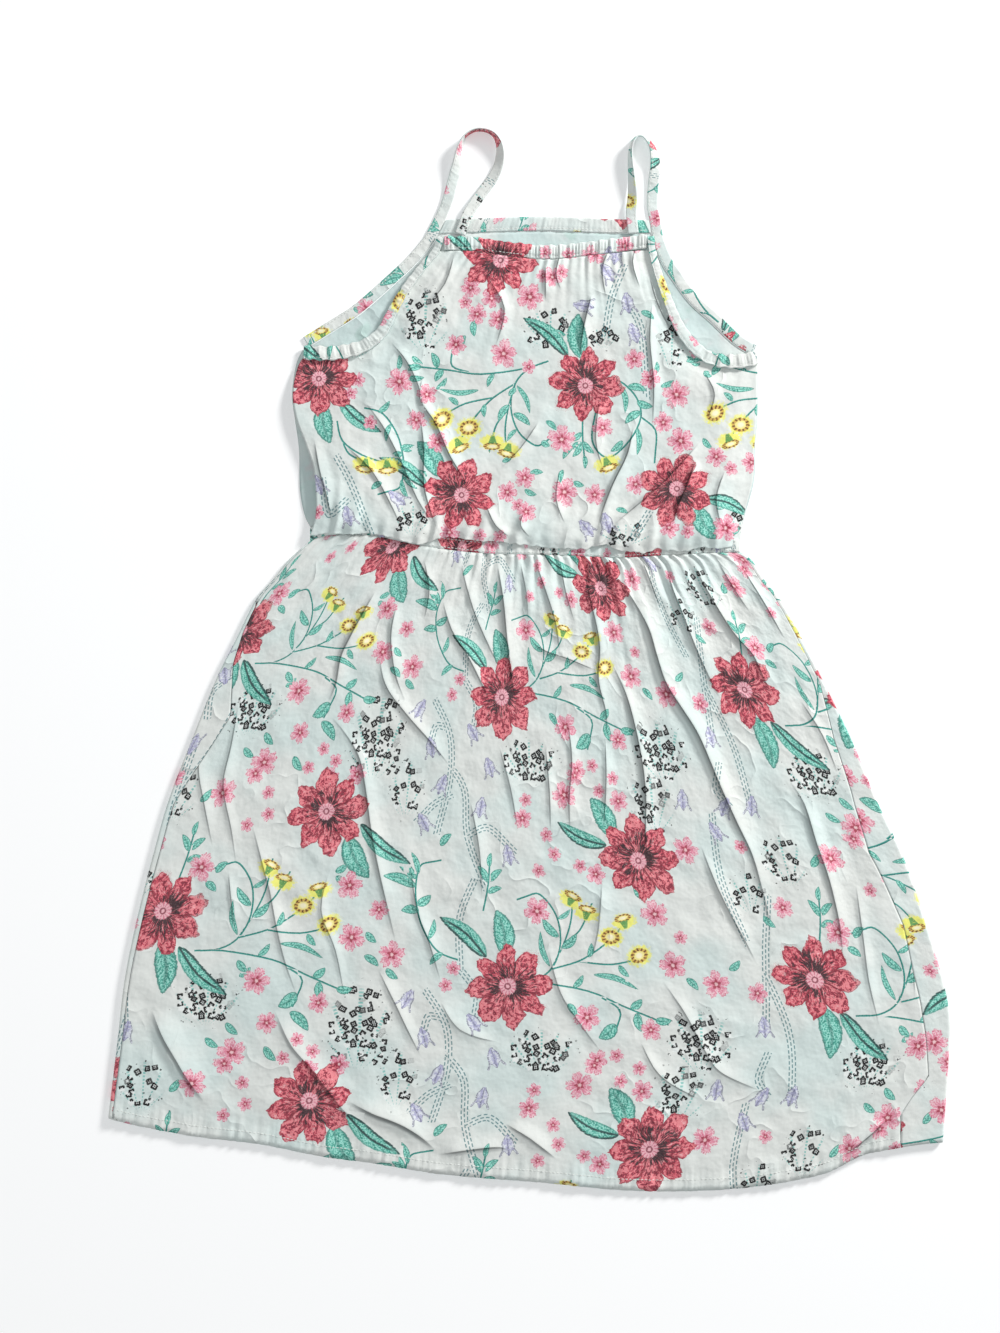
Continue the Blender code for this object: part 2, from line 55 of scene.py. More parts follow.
def new_object(name, data):
    made = bpy.data.objects.new(name, data)
    bpy.context.collection.objects.link(made)
    return made


table_bm = bmesh.new()
bmesh.ops.create_grid(table_bm, x_segments=1, y_segments=1, size=TABLE_HALF)
bmesh.ops.translate(table_bm, verts=table_bm.verts[:], vec=(0, 0, -TABLE_DROP))
table_mesh = bpy.data.meshes.new("table")
table_bm.to_mesh(table_mesh)
table_bm.free()
table = new_object("table", table_mesh)
table_finish = bpy.data.materials.new("table_white")
table_finish.use_nodes = True
table_shader = table_finish.node_tree.nodes["Principled BSDF"]
table_shader.inputs["Base Color"].default_value = TABLE_WHITE
table_shader.inputs["Roughness"].default_value = 0.9
table_shader.inputs["Emission Color"].default_value = (1, 1, 1, 1)
table_shader.inputs["Emission Strength"].default_value = TABLE_GLOW
table_mesh.materials.append(table_finish)


def lamp(name, place, aim, size, power, colour):
    data = bpy.data.lights.new(name, "AREA")
    data.shape = "DISK"
    data.size = size
    data.energy = power
    data.color = colour
    made = new_object(name, data)
    made.location = place
    away = np.array(place) - np.array(aim)
    flat = math.hypot(away[0], away[1])
    made.rotation_euler = (math.atan2(flat, away[2]), 0, math.atan2(away[0], -away[1]))


lamp("key_lamp", KEY_AT, (0, 0.02, 0), KEY_SIZE, KEY_POWER, (1.0, 0.99, 0.98))
lamp("fill_lamp", FILL_AT, (0, 0, 0), FILL_SIZE, FILL_POWER, (0.97, 0.99, 1.0))
world = bpy.data.worlds.new("studio")
world.use_nodes = True
world.node_tree.nodes["Background"].inputs["Color"].default_value = (0.95, 0.98, 1.0, 1)
world.node_tree.nodes["Background"].inputs["Strength"].default_value = ROOM_LIGHT
bpy.context.scene.world = world
bpy.context.scene.view_settings.view_transform = "Standard"

camera_data = bpy.data.cameras.new("camera")
camera_data.lens = LENS
camera_data.sensor_fit = "VERTICAL"
camera_data.sensor_height = FILM_HEIGHT
camera = new_object("camera", camera_data)
camera.location = CAMERA_AT
bpy.context.scene.camera = camera

# ---------------------------------------------------------------------------------------------------------
# Back of the skirt: a light woven viscose panel, printed on its outside, which lies on the table. Both of
# its sides roll over to the front, as far as the side seams. Sizes are in mm until a point is placed.
MM = 0.001
CLOTH = 0.5
PANEL = 1.0
ROLL = 2.1
SEAM_TOP = 2 * ROLL
HEM_FROM = 0.978
HEM_EXTRA = 0.3
WAIST_HALF = 4.5
BUTT = 0.5
WAIST = [
    (-165.5, 95.5), (-151.0, 99.4), (-119.0, 99.2), (-82.5, 91.8), (-36.9, 86.0), (23.9, 84.4),
    (69.5, 82.6), (115.1, 85.1), (159.8, 86.8),
]
HEM = [
    (-319.0, -347.3), (-295.3, -353.4), (-249.7, -361.8), (-204.1, -367.1), (-158.5, -376.2),
    (-112.9, -382.3), (-67.3, -389.9), (-21.7, -393.7), (23.9, -397.5), (69.5, -402.0), (115.1, -402.8),
    (160.7, -400.5), (206.3, -393.7), (229.1, -387.6), (251.9, -376.2), (274.7, -370.9), (297.5, -367.1),
    (314.3, -365.6),
]
SKIRT_LEFT = [
    (-182.0, 76.0), (-194.2, 60.8), (-207.1, 45.6), (-222.3, 15.2), (-237.5, -15.2), (-255.7, -60.8),
    (-273.2, -106.4), (-286.1, -152.0), (-297.5, -197.6), (-306.7, -243.2), (-312.0, -288.8),
]
SKIRT_RIGHT = [
    (169.1, 76.0), (179.0, 60.8), (191.1, 45.6), (207.9, 15.2), (223.1, -15.2), (245.1, -60.8),
    (264.1, -106.4), (285.4, -152.0), (300.6, -197.6), (314.3, -243.2), (319.6, -273.6), (318.1, -311.6),
]
# How far the back comes round to the front: share of the way to the hem, width
FLAP_LEFT = [
    (0.0, 3.2), (0.19, 3.2), (0.245, 8), (0.285, 15), (0.336, 23), (0.405, 15), (0.487, 5), (1.0, 3.2),
]
FLAP_RIGHT = [
    (0.0, 3.2), (0.245, 3.2), (0.343, 13), (0.428, 16), (0.533, 24), (0.654, 17), (0.731, 20.5),
    (0.80, 20.5), (0.895, 14.5), (0.924, 26), (0.948, 34), (1.0, 32),
]
# The flat cut panel: its width at the waist and at the hem, how much longer it is where the cloth puffs up
# under the waist, and the height below which it lies flat
SKIRT_CUT = (560.0, 630.0)
PUFF = 18.0
PUFF_FROM = -30.0


def blend(start, end, share):
    return start + (end - start) * share


def smooth(share):
    share = np.clip(share, 0.0, 1.0)
    return share * share * (3 - 2 * share)


def uneven(index, seed):
    """A fixed number from -1 to 1 for each index, so that repeats differ."""
    return 2 * np.mod(np.sin(np.asarray(index) * 12.9898 + seed * 78.233) * 43758.5453, 1) - 1


def look_up(rows, place):
    places, values = zip(*rows)
    return np.interp(place, places, values)


def rounded(points, steps=6):
    """A smooth line through a row of points."""
    points = np.array(points, float)
    ends = np.vstack([points[:1], points, points[-1:]])
    t = np.arange(steps)[:, None] / steps
    line = []
    for i in range(len(points) - 1):
        a, b, c, d = ends[i:i + 4]
        square, cube = 2 * a - 5 * b + 4 * c - d, 3 * b - a - 3 * c + d
        line.append(0.5 * (2 * b + (c - a) * t + square * t**2 + cube * t**3))
    return np.vstack([*line, points[-1:]])


def course(points, steps=6):
    """A function that gives the points at shares of the length of a smooth line."""
    line = rounded(points, steps) if steps else np.array(points, float)
    runs = np.append(0, np.cumsum(np.hypot(*np.diff(line[:, :2], axis=0).T)))
    runs /= runs[-1]
    return lambda share: tuple(np.interp(share, runs, column) for column in line.T)


def direction(at, share):
    before, after = at(share - 0.004), at(share + 0.004)
    dx, dy = after[0] - before[0], after[1] - before[1]
    run = np.hypot(dx, dy)
    return dx / run, dy / run


def beside(at, share, distance):
    """The points at a distance to the right of a line."""
    x, y = at(share)[:2]
    dx, dy = direction(at, share)
    return x + dy * distance, y - dx * distance


def patch(top, bottom, left, right, s, v, reach, power):
    """The points of a panel between four lines, whose rows bend to the two sides within the given reach."""
    (ax, ay), (bx, by), (cx, cy), (dx, dy) = top(0)[:2], top(1)[:2], bottom(0)[:2], bottom(1)[:2]
    tx, ty = top(s)[:2]
    ux, uy = bottom(s)[:2]
    lx, ly = left(v)[:2]
    rx, ry = right(v)[:2]
    x = blend(lx, rx, s) + (1 - v) * (tx - blend(ax, bx, s)) + v * (ux - blend(cx, dx, s))
    y = blend(ty, uy, v)
    y = y + (ly - blend(ay, cy, v)) * np.maximum(1 - s / reach, 0) ** power
    y = y + (ry - blend(by, dy, v)) * np.maximum(1 - (1 - s) / reach, 0) ** power
    return x, y


def shifted(at, up):
    """A line moved up by a distance."""
    return lambda share: (at(share)[0], at(share)[1] + up)


waist = course(WAIST)
waist_lower = shifted(waist, -WAIST_HALF - BUTT)
waist_upper = shifted(waist, WAIST_HALF + BUTT)
skirt_hem = course(HEM)
skirt_left = course([waist_lower(0), *SKIRT_LEFT, HEM[0]])
skirt_right = course([waist_lower(1), *SKIRT_RIGHT, HEM[-1]])


def skirt_point(s, v):
    return patch(waist_lower, skirt_hem, skirt_left, skirt_right, s, v, 1.0, 1)


def skirt_width(v):
    return skirt_right(v)[0] - skirt_left(v)[0]


def skirt_cut(s, v):
    """Where a point of the skirt lies on the flat cut panel, which is wider than its gathered waist, and a
    little longer under it, where the cloth puffs up."""
    y = skirt_point(s, v)[1]
    puff = PUFF * smooth((y - PUFF_FROM) / (WAIST[1][1] - WAIST_HALF - PUFF_FROM))
    return (s - 0.5) * blend(SKIRT_CUT[0], SKIRT_CUT[1], v), y + puff - WAIST[1][1]


def read_points(mesh):
    flat = np.empty(len(mesh.vertices) * 3)
    mesh.vertices.foreach_get("co", flat)
    return flat.reshape(-1, 3)


def read_corners(mesh):
    """The points of each four-sided face."""
    flat = np.empty(len(mesh.loops), int)
    mesh.loops.foreach_get("vertex_index", flat)
    return flat.reshape(-1, 4)


def cloth_wall(name, columns, rows, face, printed_outer=True):
    """A closed thin wall of cloth: one grid, extruded, with its points placed by face(s, v, outer).
    face gives the place in mm and the point of the flat cut, for the print."""
    bm = bmesh.new()
    bmesh.ops.create_grid(bm, x_segments=columns, y_segments=rows, size=1.0)
    made = bmesh.ops.extrude_face_region(bm, geom=bm.faces[:])
    raised = [item for item in made["geom"] if isinstance(item, bmesh.types.BMVert)]
    bmesh.ops.translate(bm, verts=raised, vec=(0, 0, 1))
    mesh = bpy.data.meshes.new(name)
    bm.to_mesh(mesh)
    s, v, side = read_points(mesh).T
    outer = side > 0.5
    x, y, z, cut_u, cut_v = face((s + 1) / 2, (v + 1) / 2, outer)
    placed = np.stack(np.broadcast_arrays(x, y, z), axis=1) * MM
    cut = np.stack(np.broadcast_arrays(cut_u, cut_v), axis=1)
    printed_side = outer if printed_outer else ~outer
    mesh.vertices.foreach_set("co", placed.ravel())
    bm.clear()
    bm.from_mesh(mesh)
    if bm.calc_volume(signed=True) < 0:
        bmesh.ops.reverse_faces(bm, faces=bm.faces[:])
    bm.to_mesh(mesh)
    bm.free()
    corners = read_corners(mesh)
    printed = printed_side[corners].all(axis=1)
    mesh.polygons.foreach_set("material_index", np.where(printed, 0, 1))
    mesh.polygons.foreach_set("use_smooth", np.ones(len(corners), bool))
    uv = mesh.uv_layers.new(name="cut")
    uv.data.foreach_set("uv", (cut[corners] * MM).ravel())
    piece = new_object(name, mesh)
    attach(piece, "root")
    return piece, cut[corners], printed


FLAP_END = 0.07
ROLL_END = 0.12


def skirt_back_face(s, v, outer):
    width = skirt_width(v)
    left = s < 0.5
    near = np.minimum(s, 1 - s)
    flap = near < FLAP_END
    roll = near < ROLL_END
    reach = np.where(left, look_up(FLAP_LEFT, v), look_up(FLAP_RIGHT, v))
    flap_in = blend(reach, ROLL, np.clip(near / FLAP_END, 0, 1))
    turn = math.pi * (0.5 - np.clip((near - FLAP_END) / (ROLL_END - FLAP_END), 0, 1))
    radius = np.where(outer, ROLL, ROLL - CLOTH)
    roll_in = ROLL - radius * np.cos(turn)
    roll_z = ROLL + radius * np.sin(turn)
    flat_in = blend(ROLL, width - ROLL, np.clip((s - ROLL_END) / (1 - 2 * ROLL_END), 0, 1))
    inward = np.where(flap, flap_in, roll_in)
    place = np.where(roll, np.where(left, inward / width, 1 - inward / width), flat_in / width)
    x, y = skirt_point(place, v)
    z = np.where(flap, SEAM_TOP - np.where(outer, 0, CLOTH), roll_z)
    z = np.where(roll, z, np.where(outer, 0, CLOTH + np.where(v >= HEM_FROM, HEM_EXTRA, 0)))
    cut_u, cut_v = skirt_cut(place, v)
    around = np.where(flap, math.pi * ROLL + flap_in, ROLL * (turn + math.pi / 2) + ROLL)
    edge_u = skirt_cut(np.where(left, 0, 1), v)[0]
    return x, y, z, np.where(roll, edge_u + np.where(left, -around, around), cut_u), cut_v


# The print's repeat, in mm on the flat cloth, y towards the neck: four large red flowers, each with a plain
# leaf and a ribbed leaf, sprays of yellow buttons, and small flowers strewn between them
REPEAT = (495.0, 220.0)
ROW_DROP = 0.1
LARGE_FLOWERS = [(0, 0), (119, 88), (265, -29), (374, 78)]
LARGE_RADIUS = 31.0
PLAIN_LEAF, RIB_LEAF, SMALL_LEAF = 1, 2, 3
PINK, BUTTON, SIDE_BUTTON, BELL = 1, 2, 3, 4
SOLID_STEM, DASHED_STEM = 1, 2
STEM_HALF, DASH_HALF = 0.65, 0.32
# Leaves beside each large flower: foot, tip, half width, kind
FLOWER_LEAVES = [
    [(2, -22, 6, -61, 8.6, PLAIN_LEAF), (15, -24, 54, -57, 6.4, RIB_LEAF)],
    [(18, -16, 37, -46, 9.0, PLAIN_LEAF), (28, -6, 70, -32, 6.2, RIB_LEAF)],
    [(-3, 23, -9, 57, 8.2, PLAIN_LEAF), (-17, 20, -53, 47, 6.4, RIB_LEAF)],
    [(-19, 15, -35, 43, 8.6, PLAIN_LEAF), (-25, 8, -64, 22, 6.0, RIB_LEAF)],
]
SPRAY_PLACES = [(0, 0), (238, 0)]
SPRAY_STEMS = [
    [(27, -26), (45, -23), (59, -13), (67, 6), (65, 28), (53, 43), (43, 41)],
    [(59, -13), (70, 8), (76, 25), (78, 40)],
    [(70, 8), (82, 18), (89, 31)],
    [(59, -13), (80, -5), (95, 5), (105, 13)],
    [(95, 5), (108, 16), (116, 26)],
    [(80, -5), (105, -5), (125, 1)],
    [(27, -26), (49, -24), (86, -27), (112, -36), (136, -44)],
    [(96, -31), (109, -39), (106, -52)],
    [(8, 26), (12, 45), (14, 61)],
]
SPRAY_LEAVES = [
    (66, 12, 54, 25, 3.3), (68, 4, 80, 16, 3.2), (58, -11, 52, 15, 2.3), (91, -14, 124, -22, 2.4),
    (117, -37, 126, -29, 3.2), (122, -40, 124, -54, 3.4), (135, -44, 147, -43, 3.2), (105, -50, 92, -62, 5.0),
    (12, 48, 5, 60, 2.8), (14, 49, 24, 59, 2.8), (12, 40, 23, 45, 2.6), (88, -1, 91, 10, 2.4),
    (111, -5, 118, -13, 2.5), (14, 60, 16, 71, 2.2), (75, -25, 83, -15, 2.4), (66, 26, 76, 34, 2.0),
]
SPRAY_BUTTONS = [(78, 43, 1), (89, 34, 1), (106, 16, 0), (117, 30, 1), (127, 4, 0)]
# Branch of leaves to the left of the third flower
BRANCH_STEM = [(-38, 16), (-54, 21), (-66, 38), (-71, 55), (-72, 69), (-69, 84), (-60, 88)]
BRANCH_LEAVES = [
    (-72, 68, -98, 74, 4.2), (-72, 72, -88, 86, 3.8), (-70, 78, -76, 94, 2.4), (-71, 55, -60, 63, 3.6),
    (-69, 50, -83, 49, 3.6), (-61, 30, -57, 45, 2.4), (-50, 20, -60, 10, 2.6),
]
PINK_FLOWERS = {
    10.5: [
        (31, 94), (24, 37), (141, 35), (145, -4), (176, -14), (75, -44), (59, -100), (317, -99), (288, 30),
        (380, 37), (390, -1), (421, -12), (322, -47), (413, 89),
    ],
    8.0: [
        (54, -109), (139, -101), (165, 19), (122, -56), (84, -75), (116, -106), (281, 100), (329, -79),
        (363, -99), (337, 63), (369, -52), (327, -83), (451, -16), (480, 52),
    ],
    5.5: [
        (68, 98), (71, 82), (55, 72), (107, -85), (97, -100), (119, -93), (223, -20), (217, -33), (284, -106),
        (300, 89), (305, 75), (291, 61), (347, -93), (325, 68), (343, -74), (360, -82), (398, 21), (458, 96),
    ],
}
LOOSE_LEAVES = [
    (14, 86, 21, 96, 3.0), (36, 34, 44, 43, 3.0), (29, 26, 38, 20, 3.0), (129, 44, 138, 51, 2.8),
    (130, 41, 139, 36, 2.8), (156, 1, 164, -6, 2.8), (155, -17, 166, -24, 3.0), (172, -25, 181, -32, 2.8),
    (60, -30, 68, -38, 3.0), (62, -42, 70, -34, 2.6), (101, -65, 115, -78, 4.2), (54, -78, 63, -86, 3.0),
    (39, -91, 49, -97, 2.8), (83, -93, 92, -103, 3.2), (213, 72, 222, 82, 3.0), (432, 0, 441, 8, 2.8),
    (308, -38, 314, -47, 2.8), (372, 48, 366, 57, 2.6), (399, -10, 407, -18, 2.8), (464, 44, 472, 36, 2.6),
]
BELLS = [
    (212, -102, 160), (199, 88, 210), (188, -47, 150), (201, -75, 195), (475, -92, 165), (253, -85, 200),
    (246, 104, 170), (268, 70, 190), (452, -95, 150), (441, 105, 205), (453, -42, 180), (238, -60, 215),
    (418, -93, 175),
]
DASHED_STEMS = [
    [(217, 134), (232, 116), (235, 82), (248, 45)], [(235, 82), (252, 90), (268, 78)],
    [(201, -38), (217, -63), (219, -97), (212, -130)], [(222, 112), (208, 104), (199, 95)],
    [(213, -58), (204, -58), (201, -67)], [(228, -20), (240, -36), (239, -52)],
    [(240, 50), (228, 20), (228, -20)], [(470, 60), (462, 20), (455, -34)],
    [(458, 0), (470, -40), (474, -84)], [(455, -60), (448, -80), (452, -88)],
    [(441, 120), (436, 70), (446, 30)],
]
# Clusters of small black florets: middle, half width, half height
CLUSTERS = [
    (39, -62, 25, 20), (152, -72, 25, 33), (183, -108, 14, 22), (287, -76, 26, 17), (405, -57, 25, 25),
    (391, -98, 20, 24), (489, 88, 17, 20), (455, 60, 14, 16),
]


def round_mark(x, y, radius, scale, turn, seed, kind):
    """A motif drawn round its middle: how far points lie from it, and their places on it."""
    c, s = math.cos(math.radians(turn)) / scale, math.sin(math.radians(turn)) / scale

    def gap(px, py):
        return np.hypot(px - x, py - y) - radius

    def own(px, py):
        dx, dy = px - x, py - y
        return dx * c + dy * s, dy * c - dx * s, np.full_like(dx, seed), np.full_like(dx, kind)

    return (x - radius, x + radius, y - radius, y + radius), gap, own


FAR = 1e9
PAST_END = 99


def along_line(px, py, line):
    """How far points lie to the left of a line and how far along it, also past its ends, and its length. Then
    how far they are from the line itself, and how far along it their nearest points are."""
    off, across, along, foot = np.full(px.shape, FAR), *(np.zeros_like(px) for _ in range(3))
    run, last = 0.0, len(line) - 2
    for k, ((ax, ay), (bx, by)) in enumerate(zip(line, line[1:])):
        dx, dy = bx - ax, by - ay
        step = math.hypot(dx, dy)
        t = ((px - ax) * dx + (py - ay) * dy) / step**2
        kept = np.clip(t, 0, 1)
        here = np.hypot(px - ax - kept * dx, py - ay - kept * dy)
        closer = here < off
        off[closer] = here[closer]
        free = np.clip(t, -PAST_END if k == 0 else 0, PAST_END if k == last else 1)
        left = (dx * (py - ay) - dy * (px - ax)) / step
        aside = np.where(free == t, left, np.sign(left) * here)
        across[closer] = aside[closer]
        along[closer] = (run + free * step)[closer]
        foot[closer] = (run + kept * step)[closer]
        run += step
    return across, along, run, off, foot


def line_mark(points, half, seed, kind, leaf):
    """A leaf or a stem, drawn along its own line."""
    line = rounded(points, 4)

    def gap(px, py):
        across, along, length = along_line(px, py, line)[:3]
        past = np.maximum(np.maximum(-along, along - length), 0)
        return np.hypot(np.maximum(np.abs(across) - half, 0), past)

    def own(px, py):
        across, along, length = along_line(px, py, line)[:3]
        if leaf:
            return across / half, along / length, np.full_like(across, seed), np.full_like(across, kind)
        return across, along, np.full_like(across, half), np.full_like(across, kind)

    low, high = line.min(axis=0) - half, line.max(axis=0) + half
    return (low[0], high[0], low[1], high[1]), gap, own


def cluster_mark(x, y, wide, high):
    def gap(px, py):
        return (np.hypot((px - x) / wide, (py - y) / high) - 1) * min(wide, high)

    def own(px, py):
        return px - x, py - y, np.full_like(px, wide), np.full_like(px, high)

    reach = max(wide, high)
    return (x - reach, x + reach, y - reach, y + reach), gap, own


def bent(x0, y0, x1, y1, bow):
    """A leaf's rib, bowed to one side."""
    return [(x0, y0), ((x0 + x1) / 2 - (y1 - y0) * bow, (y0 + y1) / 2 + (x1 - x0) * bow), (x1, y1)]


class Layout:
    """The motifs laid on one cut piece. put(x, y) gives a motif's place on the flat cut."""

    def __init__(self, size=1.0):
        self.size = size
        self.marks = {"bloom": [], "posy": [], "leaf": [], "stem": [], "cluster": []}

    def leaf(self, put, x0, y0, x1, y1, half, kind=SMALL_LEAF):
        bow = 0.09 * (1 if (x0 + y1) % 2 else -1)
        points = [put(*point) for point in bent(x0, y0, x1, y1, bow)]
        self.marks["leaf"].append(line_mark(points, half * self.size, (x0 * 7 + y0) % 10, kind, True))

    def stem(self, put, points, half=STEM_HALF, kind=SOLID_STEM):
        self.marks["stem"].append(line_mark([put(*point) for point in points], half, 0, kind, False))

    def large_flower(self, put, which, number):
        turn = 40 * number % 360
        radius = (LARGE_RADIUS + 1) * self.size
        self.marks["bloom"].append(round_mark(*put(0, 0), radius, self.size, turn, number % 7 + 0.3, 1))
        for row in FLOWER_LEAVES[which]:
            self.leaf(put, *row)

    def spray(self, put, turn):
        for points in SPRAY_STEMS:
            self.stem(put, points)
        for row in SPRAY_LEAVES:
            self.leaf(put, *row)
        for k, (x, y, side_on) in enumerate(SPRAY_BUTTONS):
            kind = SIDE_BUTTON if side_on else BUTTON
            self.marks["posy"].append(round_mark(*put(x, y), 10, 1, turn + 14 * (k - 2), k + 0.5, kind))

    def branch(self, put):
        self.stem(put, BRANCH_STEM)
        for row in BRANCH_LEAVES:
            self.leaf(put, *row)

    def pink(self, put, x, y, size):
        turn, seed = (x * 5 + y * 3) % 72, (x * 3 + y) % 11 * 0.37
        self.marks["posy"].append(round_mark(*put(x, y), size, size / 10.5, turn, seed, PINK))

    def bell(self, put, x, y, turn):
        self.marks["posy"].append(round_mark(*put(x, y), 9, 1, turn, x % 5, BELL))

    def cluster(self, put, x, y, wide, high):
        self.marks["cluster"].append(cluster_mark(*put(x, y), wide, high))


def repeated_print(low, high, origin, turned=False):
    """The print's repeat, laid over a cut piece from its lowest to its highest corner."""
    layout = Layout()
    sign = -1 if turned else 1
    number = 0
    for row in range(-4, 5):
        for column in range(-3, 4):

            def base(x, y):
                x, y = x + column * REPEAT[0], y + row * REPEAT[1]
                return origin[0] + sign * x, origin[1] + sign * (y - ROW_DROP * x)

            def about(x, y):
                return lambda a, b: base(x + a, y + b)

            def inside(x, y, reach=60):
                px, py = base(x, y)
                return low[0] - reach < px < high[0] + reach and low[1] - reach < py < high[1] + reach

            for which, (x, y) in enumerate(LARGE_FLOWERS):
                number += 1
                if inside(x, y, 70):
                    layout.large_flower(about(x, y), which, number)
            for x, y in SPRAY_PLACES:
                if inside(x + 75, y, 80):
                    layout.spray(about(x, y), 180 if turned else 0)
            if inside(205, 20):
                layout.branch(about(*LARGE_FLOWERS[2]))
            for size, places in PINK_FLOWERS.items():
                for x, y in places:
                    if inside(x, y):
                        layout.pink(base, x, y, size)
            for x, y, turn in BELLS:
                if inside(x, y):
                    layout.bell(base, x, y, turn if turned else turn - 180)
            for given in LOOSE_LEAVES:
                if inside(*given[:2]):
                    layout.leaf(base, *given)
            for points in DASHED_STEMS:
                if inside(*points[0]) or inside(*points[-1]):
                    layout.stem(base, points, DASH_HALF, DASHED_STEM)
            for given in CLUSTERS:
                if inside(*given[:2]):
                    layout.cluster(base, *given)
    return layout.marks


# Faces farther than this from every motif stay plain; NO_MARK is the coordinate they get
MARK_REACH = 9.0
NO_MARK = 1e3
OFF_CLOTH = 1e6


def lay_print(piece, cut, printed, origin=(0, 0), turned=False, marks=None):
    """Gives each printed face the coordinates of the motif that is nearest to it, one attribute to a kind."""
    middle = cut.mean(axis=1)
    middle[~printed] = OFF_CLOTH
    inner = middle[printed]
    if marks is None:
        marks = repeated_print(inner.min(axis=0), inner.max(axis=0), origin, turned)
    for name, motifs in marks.items():
        best = np.full(len(cut), MARK_REACH)
        given = np.zeros((len(cut), 4, 4), np.float32)
        given[:, :, 0] = NO_MARK
        for (x0, x1, y0, y1), gap, own in motifs:
            near = np.flatnonzero(
                (middle[:, 0] > x0 - MARK_REACH) & (middle[:, 0] < x1 + MARK_REACH)
                & (middle[:, 1] > y0 - MARK_REACH) & (middle[:, 1] < y1 + MARK_REACH)
            )
            if not len(near):
                continue
            here = gap(*middle[near].T)
            closer = here < best[near]
            chosen = near[closer]
            best[chosen] = here[closer]
            if len(chosen):
                values = own(cut[chosen, :, 0], cut[chosen, :, 1])
                given[chosen] = np.stack(values, axis=-1)
        made = piece.data.attributes.new(name, "FLOAT_COLOR", "CORNER")
        made.data.foreach_set("color", given.ravel())
    piece.data.materials.append(printed_cloth)
    piece.data.materials.append(plain_inside)


def lay_creases(piece, printed, creases):
    """Gives each outer face its place beside the nearest sharp crease: how far across it, and the crease's
    height, width and depth of painted shade there. A crease is steep on the right and gentle on the left."""
    mesh = piece.data
    places = read_points(mesh)[read_corners(mesh), :2] / MM
    middle = places.mean(axis=1)
    middle[~printed] = OFF_CLOTH
    best = np.full(len(places), FAR)
    given = np.zeros((len(places), 4, 4), np.float32)
    given[:, :, 0] = NO_MARK
    given[:, :, 2] = 1
    for height, width, shade, points in creases:
        line = rounded(points, 4)
        low, high = line.min(axis=0) - width, line.max(axis=0) + width
        near = np.flatnonzero(((middle > low) & (middle < high)).all(axis=1))
        across, along, length = along_line(*middle[near].T, line)[:3]
        off = np.abs(across) + 9 * ((along < 0) | (along > length))
        closer = (off < width + 3) & (off < best[near])
        chosen = near[closer]
        best[chosen] = off[closer]
        if len(chosen):
            across, along, length = along_line(places[chosen, :, 0], places[chosen, :, 1], line)[:3]
            fade = smooth(along / (0.25 * length)) * smooth((length - along) / (0.3 * length))
            values = [across, height * fade, np.full_like(fade, width), shade * fade]
            given[chosen] = np.stack(values, axis=-1)
    made = mesh.attributes.new("crease", "FLOAT_COLOR", "CORNER")
    made.data.foreach_set("color", given.ravel())


def cloth_piece(name, node, columns, rows, face, origin=(0, 0), folds=(), printed_outer=True, **print_how):
    """A piece of the dress with its print and its creases, which takes the place of its CAD node."""
    piece, cut, printed = cloth_wall(name, columns, rows, face, printed_outer)
    lay_print(piece, cut, printed, origin, **print_how)
    if folds:
        lay_creases(piece, printed, folds)
    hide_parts(node)
    return piece


